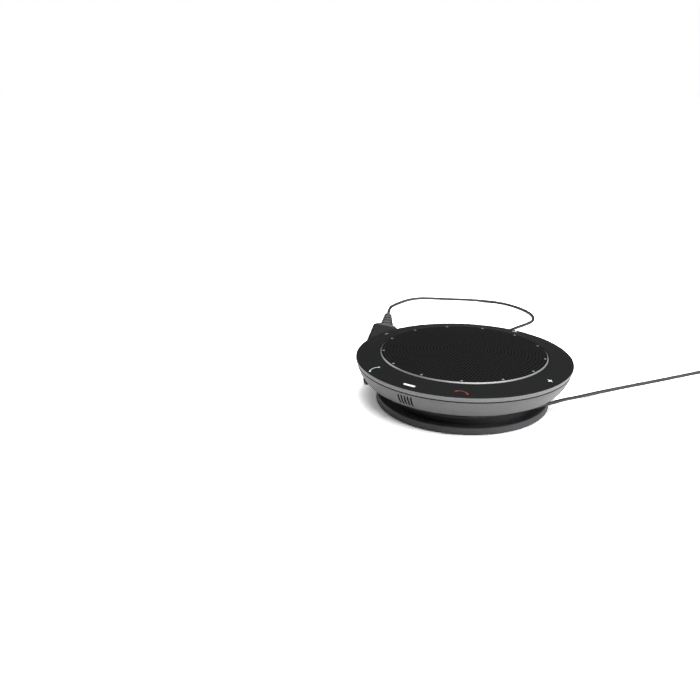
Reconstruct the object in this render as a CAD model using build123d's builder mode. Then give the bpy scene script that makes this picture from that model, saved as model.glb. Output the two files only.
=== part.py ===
from build123d import *
import os
from math import cos, pi, radians, sin, sqrt, tan

os.makedirs("parts", exist_ok=True)

# Row frame: +Z up, origin on the table under the middle of the base, the badge's place towards -Y.
# Every length is in millimetres and every angle in degrees, counted from +X towards +Y.

# Overall sizes
body_r = 60.0  # widest radius, at the edge between the silver band and the black ring
edge_z = 25.65  # height of that edge
grille_r = 46.3  # radius of the grille
driver_r = 31.0  # radius of the loudspeaker's frame
dome_rise = 2.2  # rise of the grille's dome over its own edge
wall = 1.8  # thickness of the moulded housing parts
joint_fit = 0.1  # gap between parts that slip into each other
screw_fit = 0.05  # radial gap round a screw's thread
front_az = 270.0  # direction of the badge's place

# Base and rubber foot
foot_outer_r = 46.0
foot_inner_r = 40.0
foot_h = 1.4
foot_proud = 0.25  # how far the foot stands out under the base
base_bottom_r = body_r - 11.55
lip_r = body_r - 11.9
lip_top_z = 4.0
lip_w = 1.3
lip_chamfer = 0.3
base_floor_z = 2.6
base_inner_r = lip_r - lip_w - 0.6

# Cable spool between base and shell
spool_r = 40.8
spool_wall = 1.8
shell_floor_z = 9.6
base_screw_ring_r = 30.0
spool_boss_r = 3.2
spool_rib_w = 1.6

# Silver shell
band_h = 2.3  # height of the silver band
seam_h = 0.55  # dark gap between shell and band
seam_high_z = edge_z - band_h  # underside of the silver band
seam_low_z = seam_high_z - seam_h  # top of the shell
seam_r = body_r - 0.55
flank_mid = (body_r - 2.3, seam_low_z - 4.6)
flank_knee = (body_r - 5.3, shell_floor_z + 4.4)
flank_under = (body_r - 9.7, shell_floor_z + 2.15)
flank_foot = (body_r - 15.0, shell_floor_z + 0.15)
inner_mid = (body_r - 4.1, seam_low_z - 4.2)
inner_knee = (body_r - 6.8, shell_floor_z + 5.5)
inner_under = (body_r - 10.2, shell_floor_z + 3.75)
inner_foot = (body_r - 14.8, shell_floor_z + wall)
shell_inner_z = shell_floor_z + wall

# Silver band and black control ring
band_inner_r = body_r - 2.3
band_waist = (body_r, edge_z - 1.25)
ring_edge = (body_r - 0.3, edge_z + 0.25)
ring_inner_r = grille_r + 0.25
ring_bevel_r = ring_inner_r + 0.65
ring_top_z = edge_z + 2.25
ring_bevel_z = ring_top_z - 0.4
ring_under_inner_z = ring_top_z - 1.5
ring_under_outer_z = edge_z - 0.95
spigot_inner_r = body_r - 3.8
spigot_r = band_inner_r - joint_fit

# Speaker baffle
baffle_r = body_r - 2.5
baffle_flange_r = body_r - 1.5
baffle_top_z = edge_z - 1.45
baffle_hole_r = driver_r - 3.8
grille_wall_r = grille_r - 3.3
grille_wall_inner_r = grille_wall_r - 1.4

# Grille and cloth
grille_edge_z = ring_top_z + 0.4
dome_top_z = grille_edge_z + dome_rise
grille_wall_top_z = grille_edge_z - 0.55
grille_t = 0.8
grille_bevel = 0.5  # bright bevel round the grille's top edge
cloth_r = grille_wall_inner_r - 0.4
cloth_t = 0.3
cloth_gap = 0.05

# Lights and touch board
light_n = 13
light_ring_r = grille_r - 1.8
lens_r = 0.6
lens_top_z = grille_edge_z + 0.3
lens_bottom_z = lens_top_z - 2.6
touch_board_inner_r = grille_wall_r + 0.6
touch_board_r = grille_r + 6.7
board_t = 1.0
chip_l = 1.5
chip_w = 1.1
chip_h = 0.7

# Main board
main_board_r = body_r - 15.0
main_board_inner_r = 20.0
main_board_z = shell_inner_z + 1.5
main_board_t = 1.6
board_top_z = main_board_z + main_board_t
board_post_ring_r = main_board_r - 4.0
board_post_r = 2.2
board_post_az = (20.0, 110.0, 200.0, 290.0)

# Screws: shaft radius, head radius, head height
case_screw = (1.2, 2.1, 1.3)
base_screw = (1.2, 2.1, 1.2)
board_screw = (1.0, 1.8, 1.2)
ring_screw = (0.7, 1.4, 1.0)
speaker_screw = (0.8, 1.5, 1.0)
case_screw_ring_r = 35.0
case_screw_az = (45.0, 135.0, 225.0, 315.0)
case_boss_r = 3.8
case_head_depth = 3.6
case_screw_top_z = baffle_top_z + 1.4
ring_screw_ring_r = body_r - 5.4
ring_screw_az = (15.0, 75.0, 135.0, 195.0, 255.0, 315.0)
ring_boss_r = 1.45
ring_screw_top_z = baffle_top_z + 0.8
speaker_screw_ring_r = driver_r + 2.0
speaker_screw_az = (0.0, 90.0, 180.0, 270.0)
speaker_screw_top_z = baffle_top_z + 1.0
base_screw_az = (0.0, 90.0, 180.0, 270.0)
base_screw_top_z = shell_inner_z + 0.8
pilot_boss_r = 2.4
drive_w = 0.5  # width of the cross in a screw's head

# Loudspeaker
driver_flange_z = seam_low_z - 1.5
driver_flange_t = 1.0
driver_mouth_r = driver_r - 4.4
gasket_inner_r = driver_r - 1.8
ear_r = 2.8
basket_foot_z = driver_flange_z - 3.1
basket_foot_t = 0.8
basket_hole_r = 12.0
basket_lip = 0.7  # thickness of the basket's mouth
basket_window_n = 6
magnet_r = 16.0
magnet_hole_r = 8.4
magnet_top_z = basket_foot_z - 1.2
magnet_z = magnet_top_z - 4.0
pole_plate_r = 15.5
yoke_z = magnet_z - 1.1
pole_r = 6.0
pole_top_z = basket_foot_z + 0.4
coil_inner_r = 6.3
coil_r = 6.9
coil_top_z = driver_flange_z - 0.7
coil_bottom_z = coil_top_z - 5.8
coil_gap = 0.3
cone_r = driver_mouth_r - 4.2
cone_rim_z = driver_flange_z + 0.9
cone_rim_t = 0.4
cone_neck_t = 0.5
spider_r = driver_mouth_r - 8.5
spider_z = basket_foot_z + 1.2
spider_t = 0.3
surround_t = 0.3
surround_lip_r = gasket_inner_r - 0.2
cap_r = 7.5
cap_base_z = coil_top_z + 0.25
cap_top_z = cap_base_z + 1.95
cap_t = 0.4

# Microphone behind its slots
mic_az = front_az - 1.0
mic_slot_n = 5
mic_slot_pitch = 1.85
mic_slot_w = 1.0
mic_slot_z = (15.6, 21.6)
mic_r = 3.0
mic_depth = 2.5
mic_z = 18.3
mic_face_r = body_r - 7.6
mic_boot_w = 13.0

# Headset socket, for a 3.5 mm plug
jack_az = 231.0
jack_z = 17.2
jack_bore_r = 1.8
jack_bore_l = 14.0
jack_nose_r = 3.0
jack_mouth_r = body_r - 2.9
jack_w = 7.0
jack_back_r = body_r - 18.5

# Lead socket and the lead's side-entry plug
lead_az = 164.9
lead_z = 17.0
lead_nose_w = 8.0
lead_nose_h = 3.0
lead_nose_end_r = body_r - 14.0
lead_nose_root_r = body_r + 2.0
lead_socket_back_r = body_r - 19.5
lead_socket_w = 11.0
lead_hole_w = 9.2
lead_hole_h = 4.2
plug_collar = (body_r - 1.0, body_r + 9.0, 11.0, 6.4)  # inner radius, outer radius, width, height
plug_tip = (-76.4, 38.2, 26.6)  # end of the strain relief
relief_az = 119.1
plug_az = 107.0
plug_lift = 25.3
plug_roll = 8.0
plug_w = 16.5
plug_t = 8.0
plug_l = 20.0
plug_corner_r = 2.0
plug_shoulder = 2.2
relief_l = 12.5
relief_base_w = 7.8
relief_base_t = 6.6
relief_tip_d = 3.4
relief_ribs = 4

# Lead
cord_d = 2.0
groove_z = 7.5
wrap_r = 42.2
wrap_from = 175.0
wrap_to = 334.7
wrap_corners = 5
coil_at = (121.5, 139.0)
coil_turn_r = 11.2
coil_in_az = 150.6
coil_out_az = 17.5
coil_turns = 4
coil_pitch = 2.25
coil_corners = 16  # corners to a turn
tie_w = 5.0
tie_t = 0.8
usb_w = 15.6
usb_t = 8.0
usb_l = 24.0
usb_shell_w = 12.0
usb_shell_t = 4.5
usb_shell_l = 12.0
usb_shell_wall = 0.35
usb_tongue_t = 1.9
usb_relief_l = 10.0
usb_relief_tip_d = 3.2


def polar(ring_r, az):
    """Point on the ring of that radius, as (x, y)."""
    return (ring_r * cos(radians(az)), ring_r * sin(radians(az)))


def ring_points(ring_r, azimuths):
    """Points on the ring at each azimuth."""
    return [polar(ring_r, az) for az in azimuths]


def spread(count, first):
    """Azimuths of that many evenly spaced places, from the first."""
    return [first + 360.0 * i / count for i in range(count)]


def radial_plane(az, z=0.0):
    """Plane through the axis whose x runs outwards and whose y runs up."""
    out = (cos(radians(az)), sin(radians(az)), 0.0)
    return Plane(origin=(0, 0, z), x_dir=out, z_dir=(out[1], -out[0], 0.0))


def outward_plane(ring_r, az, z):
    """Plane facing outwards at that radius, x along the rim and y up."""
    x, y = polar(ring_r, az)
    out = (cos(radians(az)), sin(radians(az)), 0.0)
    return Plane(origin=(x, y, z), x_dir=(-out[1], out[0], 0.0), z_dir=out)


def drop(r, edge_r, rise):
    """How far a sphere's cap of that edge radius and rise has fallen at radius r."""
    sphere_r = (edge_r**2 + rise**2) / (2.0 * rise)
    return sphere_r - sqrt(sphere_r**2 - r**2)


def dome_z(r, lower):
    """Height of the grille's dome at that radius, lowered by that much."""
    return dome_top_z - lower - drop(r, grille_r, dome_top_z - grille_edge_z)


def dome_profile(r, lower, thickness, bevel=0.0):
    """Closed half section of a dome that follows the grille's own."""
    top_r = r - bevel
    with BuildLine() as outline:
        ThreePointArc(
            (0, dome_z(0, lower)),
            (top_r / 2, dome_z(top_r / 2, lower)),
            (top_r, dome_z(top_r, lower)),
        )
        if bevel > 0.0:
            Line((top_r, dome_z(top_r, lower)), (r, dome_z(r, lower + bevel)))
        Line((r, dome_z(r, lower + bevel)), (r, dome_z(r, lower + thickness)))
        ThreePointArc(
            (r, dome_z(r, lower + thickness)),
            (r / 2, dome_z(r / 2, lower + thickness)),
            (0, dome_z(0, lower + thickness)),
        )
        Line((0, dome_z(0, lower + thickness)), (0, dome_z(0, lower)))
    return outline.line


def screw(size, length):
    """Screw with its head's face at z 0 and its shaft upwards, cross slot in the head."""
    shaft_r, head_r, head_h = size
    with BuildPart(mode=Mode.PRIVATE) as one:
        Cylinder(head_r, head_h, align=(Align.CENTER, Align.CENTER, Align.MIN))
        Cylinder(shaft_r, length, align=(Align.CENTER, Align.CENTER, Align.MIN))
        for turn in (0, 90):
            with Locations(Location((0, 0, 0), (0, 0, turn))):
                Box(
                    2.0 * head_r * 0.7,
                    drive_w,
                    head_h * 0.5,
                    align=(Align.CENTER, Align.CENTER, Align.MIN),
                    mode=Mode.SUBTRACT,
                )
    return one.part


def rounds_for(points):
    """Radius for each corner of a route, from its shorter run and its turn."""
    radii = []
    for before, here, after in zip(points, points[1:], points[2:]):
        first = Vector(*here) - Vector(*before)
        second = Vector(*after) - Vector(*here)
        half_turn = radians(first.get_angle(second)) / 2.0
        radii.append(0.45 * min(first.length, second.length) / tan(half_turn))
    return radii


def cord_length(points, radii):
    """Length of the rounded route."""
    total = 0.0
    for before, after in zip(points, points[1:]):
        total += (Vector(*after) - Vector(*before)).length
    for (before, here, after), radius in zip(zip(points, points[1:], points[2:]), radii):
        first = Vector(*here) - Vector(*before)
        second = Vector(*after) - Vector(*here)
        turn = radians(first.get_angle(second))
        total += radius * turn - 2.0 * radius * tan(turn / 2.0)
    return total


def tube(points):
    """Round cord along the route, with its length."""
    radii = rounds_for(points)
    with BuildLine(mode=Mode.PRIVATE) as route:
        FilletPolyline(*points, radius=radii)
    start = Plane(origin=route.line @ 0, z_dir=route.line % 0)
    with BuildPart(mode=Mode.PRIVATE) as made:
        with BuildSketch(start) as section:
            Circle(cord_d / 2.0)
        sweep(sections=section.sketch, path=route.line)
    length = cord_length(points, radii)
    share = made.part.volume / (pi * cord_d**2 / 4.0 * length)
    print(f"cord {length:.1f} mm, volume {share:.4f} of section x length")
    print("radii", [round(radius, 1) for radius in radii])
    return made.part, length


# Rubber foot ring, set into the base
with BuildPart() as foot_ring:
    with BuildSketch():
        Circle(foot_outer_r)
        Circle(foot_inner_r, mode=Mode.SUBTRACT)
    extrude(amount=foot_h)
foot_ring.part.label = "foot_ring"
export_step(foot_ring.part, "parts/foot_ring.step")

# Base: a shallow dish whose lip closes the cable groove from below
with BuildPart() as base_plate:
    with BuildSketch(Plane.XZ):
        with BuildLine():
            Polyline(
                (0, foot_proud),
                (base_bottom_r - lip_chamfer, foot_proud),
                (base_bottom_r, foot_proud + lip_chamfer),
                (lip_r, lip_top_z - lip_chamfer),
                (lip_r - lip_chamfer, lip_top_z),
                (lip_r - lip_w, lip_top_z),
                (base_inner_r + 0.6, base_floor_z + 0.4),
                (base_inner_r, base_floor_z),
                (0, base_floor_z),
                close=True,
            )
        make_face()
    revolve(axis=Axis.Z)
    with BuildSketch():
        Circle(foot_outer_r)
        Circle(foot_inner_r, mode=Mode.SUBTRACT)
    extrude(amount=foot_h, mode=Mode.SUBTRACT)
    with BuildSketch():
        with Locations(ring_points(base_screw_ring_r, base_screw_az)):
            Circle(base_screw[0] + screw_fit)
    extrude(amount=base_floor_z, mode=Mode.SUBTRACT)
    with BuildSketch():
        with Locations(ring_points(base_screw_ring_r, base_screw_az)):
            Circle(base_screw[1] + joint_fit)
    extrude(amount=foot_proud + base_screw[2], mode=Mode.SUBTRACT)
base_plate.part.label = "base_plate"
export_step(base_plate.part, "parts/base_plate.step")

# Spool: the drum that the lead winds round, with four ribbed screw posts
with BuildPart() as cable_spool:
    with BuildSketch(Plane.XY.offset(base_floor_z)):
        Circle(spool_r)
        Circle(spool_r - spool_wall, mode=Mode.SUBTRACT)
        with Locations(ring_points(base_screw_ring_r, base_screw_az)):
            Circle(spool_boss_r)
        for az in base_screw_az:
            middle_r = (base_screw_ring_r + spool_r - spool_wall / 2.0) / 2.0
            rib_l = spool_r - spool_wall / 2.0 - base_screw_ring_r
            with Locations(Location((*polar(middle_r, az), 0), (0, 0, az))):
                Rectangle(rib_l, spool_rib_w)
        with Locations(ring_points(base_screw_ring_r, base_screw_az)):
            Circle(base_screw[0] + screw_fit, mode=Mode.SUBTRACT)
    extrude(amount=shell_floor_z - base_floor_z)
cable_spool.part.label = "cable_spool"
export_step(cable_spool.part, "parts/cable_spool.step")

# Screws through base and spool into the shell's floor
with BuildPart() as base_screws:
    with Locations([(x, y, foot_proud) for x, y in ring_points(base_screw_ring_r, base_screw_az)]):
        add(screw(base_screw, base_screw_top_z - foot_proud))
base_screws.part.label = "base_screws"
export_step(base_screws.part, "parts/base_screws.step")

# Silver shell: a bowl with screw posts, microphone slots and two socket openings
with BuildPart() as lower_shell:
    with BuildSketch(Plane.XZ):
        with BuildLine():
            ThreePointArc((seam_r, seam_low_z), flank_mid, flank_knee)
            ThreePointArc(flank_knee, flank_under, flank_foot)
            Line(flank_foot, (flank_foot[0] - 1.0, shell_floor_z))
            Line((flank_foot[0] - 1.0, shell_floor_z), (0, shell_floor_z))
            Line((0, shell_floor_z), (0, shell_inner_z))
            Line((0, shell_inner_z), inner_foot)
            ThreePointArc(inner_foot, inner_under, inner_knee)
            ThreePointArc(inner_knee, inner_mid, (seam_r - wall, seam_low_z))
            Line((seam_r - wall, seam_low_z), (seam_r, seam_low_z))
        make_face()
    revolve(axis=Axis.Z)
    with BuildSketch(Plane.XY.offset(shell_inner_z)):
        with Locations(ring_points(case_screw_ring_r, case_screw_az)):
            Circle(case_boss_r)
    extrude(amount=seam_low_z - shell_inner_z)
    with BuildSketch(Plane.XY.offset(shell_inner_z)):
        with Locations(ring_points(board_post_ring_r, board_post_az)):
            Circle(board_post_r)
    extrude(amount=main_board_z - shell_inner_z)
    with BuildSketch(Plane.XY.offset(shell_inner_z)):
        with Locations(ring_points(base_screw_ring_r, base_screw_az)):
            Circle(board_post_r)
    extrude(amount=main_board_z - joint_fit - shell_inner_z)
    with BuildSketch(Plane.XY.offset(shell_floor_z)):
        with Locations(ring_points(case_screw_ring_r, case_screw_az)):
            Circle(case_screw[0] + screw_fit)
    extrude(amount=seam_low_z - shell_floor_z, mode=Mode.SUBTRACT)
    with BuildSketch(Plane.XY.offset(shell_floor_z)):
        with Locations(ring_points(case_screw_ring_r, case_screw_az)):
            Circle(case_screw[1] + joint_fit)
    extrude(amount=case_head_depth, mode=Mode.SUBTRACT)
    with BuildSketch(Plane.XY.offset(shell_floor_z)):
        with Locations(ring_points(base_screw_ring_r, base_screw_az)):
            Circle(base_screw[0] + screw_fit)
    extrude(amount=base_screw_top_z - shell_floor_z, mode=Mode.SUBTRACT)
    with BuildSketch(Plane.XY.offset(main_board_z - 1.2)):
        with Locations(ring_points(board_post_ring_r, board_post_az)):
            Circle(board_screw[0] + screw_fit)
    extrude(amount=1.2, mode=Mode.SUBTRACT)
    for step in range(mic_slot_n):
        slot_az = mic_az + (step - (mic_slot_n - 1) / 2.0) * mic_slot_pitch
        slot_mid_z = (mic_slot_z[0] + mic_slot_z[1]) / 2.0
        with BuildSketch(outward_plane(body_r - 8.5, slot_az, slot_mid_z)):
            SlotOverall(mic_slot_z[1] - mic_slot_z[0], mic_slot_w, rotation=90)
        extrude(amount=9.0, mode=Mode.SUBTRACT)
    with BuildSketch(outward_plane(body_r - 10.0, jack_az, jack_z)):
        Circle(jack_nose_r + joint_fit)
    extrude(amount=12.0, mode=Mode.SUBTRACT)
    with BuildSketch(outward_plane(body_r - 10.0, lead_az, lead_z)):
        RectangleRounded(lead_hole_w, lead_hole_h, 0.8)
    extrude(amount=12.0, mode=Mode.SUBTRACT)
lower_shell.part.label = "lower_shell"
export_step(lower_shell.part, "parts/lower_shell.step")

# Silver band above the seam
with BuildPart() as rim_band:
    with BuildSketch(Plane.XZ):
        with BuildLine():
            Polyline(
                (band_inner_r, seam_high_z),
                (seam_r, seam_high_z),
                band_waist,
                (body_r, edge_z),
                (band_inner_r, edge_z),
                close=True,
            )
        make_face()
    revolve(axis=Axis.Z)
rim_band.part.label = "rim_band"
export_step(rim_band.part, "parts/rim_band.step")

# Black control ring: sloping touch surface, spigot inside the band, screw posts under it
with BuildPart() as control_ring:
    with BuildSketch(Plane.XZ):
        with BuildLine():
            Polyline(
                (body_r, edge_z),
                ring_edge,
                (ring_bevel_r, ring_top_z),
                (ring_inner_r, ring_bevel_z),
                (ring_inner_r, ring_under_inner_z),
                (spigot_inner_r, ring_under_outer_z),
                (spigot_r, ring_under_outer_z),
                (spigot_r, edge_z),
                close=True,
            )
        make_face()
    revolve(axis=Axis.Z)
    with BuildSketch(Plane.XY.offset(baffle_top_z)):
        with Locations(ring_points(ring_screw_ring_r, ring_screw_az)):
            Circle(ring_boss_r)
    extrude(amount=ring_under_outer_z + 0.9 - baffle_top_z)
    with BuildSketch(Plane.XY.offset(baffle_top_z)):
        with Locations(ring_points(ring_screw_ring_r, ring_screw_az)):
            Circle(ring_screw[0] + screw_fit)
    extrude(amount=ring_screw_top_z - baffle_top_z, mode=Mode.SUBTRACT)
control_ring.part.label = "control_ring"
export_step(control_ring.part, "parts/control_ring.step")

# Perforated grille, with a hole for each light
with BuildPart() as speaker_grille:
    with BuildSketch(Plane.XZ):
        add(dome_profile(grille_r, 0.0, grille_t, grille_bevel))
        make_face()
    revolve(axis=Axis.Z)
    with BuildSketch(Plane.XY.offset(lens_bottom_z)):
        with Locations(ring_points(light_ring_r, spread(light_n, front_az))):
            Circle(lens_r + screw_fit)
    extrude(amount=dome_top_z - lens_bottom_z, mode=Mode.SUBTRACT)
speaker_grille.part.label = "speaker_grille"
export_step(speaker_grille.part, "parts/speaker_grille.step")

# Acoustic cloth under the grille
with BuildPart() as grille_cloth:
    with BuildSketch(Plane.XZ):
        add(dome_profile(cloth_r, grille_t + cloth_gap, cloth_t))
        make_face()
    revolve(axis=Axis.Z)
grille_cloth.part.label = "grille_cloth"
export_step(grille_cloth.part, "parts/grille_cloth.step")

# Light pipes in the grille's border
with BuildPart() as led_lenses:
    with BuildSketch(Plane.XY.offset(lens_bottom_z)):
        with Locations(ring_points(light_ring_r, spread(light_n, front_az))):
            Circle(lens_r)
    extrude(amount=lens_top_z - lens_bottom_z)
led_lenses.part.label = "led_lenses"
export_step(led_lenses.part, "parts/led_lenses.step")

# Ring-shaped touch board, with a light chip under each light pipe
with BuildPart() as touch_board:
    with BuildSketch(Plane.XY.offset(baffle_top_z)):
        Circle(touch_board_r)
        Circle(touch_board_inner_r, mode=Mode.SUBTRACT)
    extrude(amount=board_t)
touch_board.part.label = "touch_board"
export_step(touch_board.part, "parts/touch_board.step")

with BuildPart() as led_chips:
    with BuildSketch(Plane.XY.offset(baffle_top_z + board_t)):
        for az in spread(light_n, front_az):
            with Locations(Location((*polar(light_ring_r, az), 0), (0, 0, az))):
                Rectangle(chip_l, chip_w)
    extrude(amount=chip_h)
led_chips.part.label = "led_chips"
export_step(led_chips.part, "parts/led_chips.step")

# Baffle: carries grille, touch board and loudspeaker, its thin flange is the dark seam
flex_az = 320.0
flex_w = 6.0
flex_t = 0.3
flex_r = 44.3
with BuildPart() as speaker_baffle:
    with BuildSketch(Plane.XZ):
        with BuildLine():
            Polyline(
                (baffle_hole_r, seam_low_z),
                (baffle_flange_r, seam_low_z),
                (baffle_flange_r, seam_high_z),
                (baffle_r, seam_high_z),
                (baffle_r, baffle_top_z),
                (grille_wall_r, baffle_top_z),
                (grille_wall_r, grille_wall_top_z),
                (grille_wall_inner_r, grille_wall_top_z),
                (grille_wall_inner_r, baffle_top_z),
                (baffle_hole_r, baffle_top_z),
                close=True,
            )
        make_face()
    revolve(axis=Axis.Z)
    with BuildSketch(Plane.XY.offset(baffle_top_z)):
        with Locations(ring_points(case_screw_ring_r, case_screw_az)):
            Circle(pilot_boss_r)
        with Locations(ring_points(speaker_screw_ring_r, speaker_screw_az)):
            Circle(pilot_boss_r)
    extrude(amount=case_screw_top_z + 0.4 - baffle_top_z)
    with BuildSketch(Plane.XY.offset(seam_low_z)):
        with Locations(ring_points(case_screw_ring_r, case_screw_az)):
            Circle(case_screw[0] + screw_fit)
        with Locations(ring_points(speaker_screw_ring_r, speaker_screw_az)):
            Circle(speaker_screw[0] + screw_fit)
    extrude(amount=case_screw_top_z - seam_low_z, mode=Mode.SUBTRACT)
    with BuildSketch(Plane.XY.offset(seam_low_z)):
        with Locations(ring_points(ring_screw_ring_r, ring_screw_az)):
            Circle(ring_screw[0] + screw_fit)
        with Locations(Location((*polar(flex_r + flex_t / 2.0, flex_az), 0), (0, 0, flex_az))):
            Rectangle(4.0 * flex_t, flex_w + 1.0)
    extrude(amount=baffle_top_z - seam_low_z, mode=Mode.SUBTRACT)
speaker_baffle.part.label = "speaker_baffle"
export_step(speaker_baffle.part, "parts/speaker_baffle.step")

# Screws that hold shell to baffle, and baffle to control ring
with BuildPart() as case_screws:
    head_z = shell_floor_z + case_head_depth - case_screw[2]
    with Locations([(x, y, head_z) for x, y in ring_points(case_screw_ring_r, case_screw_az)]):
        add(screw(case_screw, case_screw_top_z - head_z))
case_screws.part.label = "case_screws"
export_step(case_screws.part, "parts/case_screws.step")

with BuildPart() as ring_screws:
    head_z = seam_low_z - ring_screw[2]
    with Locations([(x, y, head_z) for x, y in ring_points(ring_screw_ring_r, ring_screw_az)]):
        add(screw(ring_screw, ring_screw_top_z - head_z))
ring_screws.part.label = "ring_screws"
export_step(ring_screws.part, "parts/ring_screws.step")

# Loudspeaker: gasket, basket with ears and windows, and its screws
flange_top_z = driver_flange_z + driver_flange_t
with BuildPart() as speaker_gasket:
    with BuildSketch(Plane.XY.offset(flange_top_z)):
        Circle(driver_r)
        with Locations(ring_points(speaker_screw_ring_r, speaker_screw_az)):
            Circle(ear_r)
        Circle(gasket_inner_r, mode=Mode.SUBTRACT)
        with Locations(ring_points(speaker_screw_ring_r, speaker_screw_az)):
            Circle(speaker_screw[0] + screw_fit, mode=Mode.SUBTRACT)
    extrude(amount=seam_low_z - flange_top_z)
speaker_gasket.part.label = "speaker_gasket"
export_step(speaker_gasket.part, "parts/speaker_gasket.step")

with BuildPart() as speaker_basket:
    with BuildSketch(Plane.XZ):
        with BuildLine():
            Polyline(
                (driver_r, flange_top_z),
                (driver_r, driver_flange_z),
                (driver_mouth_r + 1.4, driver_flange_z),
                (pole_plate_r + 2.0, basket_foot_z),
                (basket_hole_r, basket_foot_z),
                (basket_hole_r, basket_foot_z + basket_foot_t),
                (pole_plate_r + 1.5, basket_foot_z + basket_foot_t),
                (driver_mouth_r, flange_top_z - basket_lip),
                (driver_mouth_r, flange_top_z),
                close=True,
            )
        make_face()
    revolve(axis=Axis.Z)
    with BuildSketch(Plane.XY.offset(driver_flange_z)):
        with Locations(ring_points(speaker_screw_ring_r, speaker_screw_az)):
            Circle(ear_r)
    extrude(amount=driver_flange_t)
    with BuildSketch(Plane.XY.offset(basket_foot_z)):
        for az in spread(basket_window_n, 30.0):
            window_r = (spider_r + driver_mouth_r) / 2.0 + 0.3
            with Locations(Location((*polar(window_r, az), 0), (0, 0, az))):
                RectangleRounded(5.4, 13.0, 1.5)
    extrude(amount=flange_top_z - basket_foot_z, mode=Mode.SUBTRACT)
    with BuildSketch(Plane.XY.offset(driver_flange_z)):
        with Locations(ring_points(speaker_screw_ring_r, speaker_screw_az)):
            Circle(speaker_screw[0] + screw_fit)
    extrude(amount=driver_flange_t, mode=Mode.SUBTRACT)
speaker_basket.part.label = "speaker_basket"
export_step(speaker_basket.part, "parts/speaker_basket.step")

with BuildPart() as speaker_screws:
    head_z = driver_flange_z - speaker_screw[2]
    with Locations(
        [(x, y, head_z) for x, y in ring_points(speaker_screw_ring_r, speaker_screw_az)]
    ):
        add(screw(speaker_screw, speaker_screw_top_z - head_z))
speaker_screws.part.label = "speaker_screws"
export_step(speaker_screws.part, "parts/speaker_screws.step")

# Magnet system: yoke with its pole, ring magnet and top plate
with BuildPart() as speaker_yoke:
    with BuildSketch(Plane.XY.offset(yoke_z)):
        Circle(pole_plate_r)
    extrude(amount=magnet_z - yoke_z)
    with BuildSketch(Plane.XY.offset(magnet_z)):
        Circle(pole_r)
    extrude(amount=pole_top_z - magnet_z)
speaker_yoke.part.label = "speaker_yoke"
export_step(speaker_yoke.part, "parts/speaker_yoke.step")

with BuildPart() as ring_magnet:
    with BuildSketch(Plane.XY.offset(magnet_z)):
        Circle(magnet_r)
        Circle(magnet_hole_r, mode=Mode.SUBTRACT)
    extrude(amount=magnet_top_z - magnet_z)
ring_magnet.part.label = "ring_magnet"
export_step(ring_magnet.part, "parts/ring_magnet.step")

with BuildPart() as top_plate:
    with BuildSketch(Plane.XY.offset(magnet_top_z)):
        Circle(pole_plate_r)
        Circle(coil_r + coil_gap, mode=Mode.SUBTRACT)
    extrude(amount=basket_foot_z - magnet_top_z)
top_plate.part.label = "top_plate"
export_step(top_plate.part, "parts/top_plate.step")

# Moving part of the loudspeaker: voice coil, cone and dust cap
with BuildPart() as voice_coil:
    with BuildSketch(Plane.XY.offset(coil_bottom_z)):
        Circle(coil_r)
        Circle(coil_inner_r, mode=Mode.SUBTRACT)
    extrude(amount=coil_top_z - coil_bottom_z)
voice_coil.part.label = "voice_coil"
export_step(voice_coil.part, "parts/voice_coil.step")

with BuildPart() as speaker_cone:
    with BuildSketch(Plane.XZ):
        with BuildLine():
            Polyline(
                (coil_r, coil_top_z - cone_neck_t),
                (cone_r, cone_rim_z),
                (cone_r, cone_rim_z + cone_rim_t),
                (coil_r, coil_top_z),
                close=True,
            )
        make_face()
    revolve(axis=Axis.Z)
speaker_cone.part.label = "speaker_cone"
export_step(speaker_cone.part, "parts/speaker_cone.step")

with BuildPart() as dust_cap:
    with BuildSketch(Plane.XZ):
        with BuildLine():
            cap_in_r = cap_r - cap_t
            cap_in_top_z = cap_top_z - cap_t
            cap_mid_z = cap_top_z - drop(cap_r / 2.0, cap_r, cap_top_z - cap_base_z)
            cap_in_mid_z = cap_in_top_z - drop(
                cap_in_r / 2.0, cap_in_r, cap_in_top_z - cap_base_z
            )
            ThreePointArc((0, cap_top_z), (cap_r / 2.0, cap_mid_z), (cap_r, cap_base_z))
            Line((cap_r, cap_base_z), (cap_in_r, cap_base_z))
            ThreePointArc(
                (cap_in_r, cap_base_z), (cap_in_r / 2.0, cap_in_mid_z), (0, cap_in_top_z)
            )
            Line((0, cap_in_top_z), (0, cap_top_z))
        make_face()
    revolve(axis=Axis.Z)
dust_cap.part.label = "dust_cap"
export_step(dust_cap.part, "parts/dust_cap.step")

# Flexing parts: half-roll surround and centring spider
arch_mid_r = (cone_r + driver_mouth_r) / 2.0
arch_r = (driver_mouth_r - cone_r) / 2.0
with BuildPart() as speaker_surround:
    with BuildSketch(Plane.XZ):
        with BuildLine():
            ThreePointArc(
                (cone_r, flange_top_z),
                (arch_mid_r, flange_top_z + arch_r),
                (arch_mid_r + arch_r, flange_top_z),
            )
            Line((arch_mid_r + arch_r, flange_top_z), (arch_mid_r + arch_r - surround_t, flange_top_z))
            ThreePointArc(
                (arch_mid_r + arch_r - surround_t, flange_top_z),
                (arch_mid_r, flange_top_z + arch_r - surround_t),
                (cone_r + surround_t, flange_top_z),
            )
            Line((cone_r + surround_t, flange_top_z), (cone_r, flange_top_z))
        make_face()
    revolve(axis=Axis.Z)
    with BuildSketch(Plane.XY.offset(flange_top_z)):
        Circle(surround_lip_r)
        Circle(driver_mouth_r - surround_t / 2.0, mode=Mode.SUBTRACT)
    extrude(amount=surround_t)
speaker_surround.part.label = "speaker_surround"
export_step(speaker_surround.part, "parts/speaker_surround.step")

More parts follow.
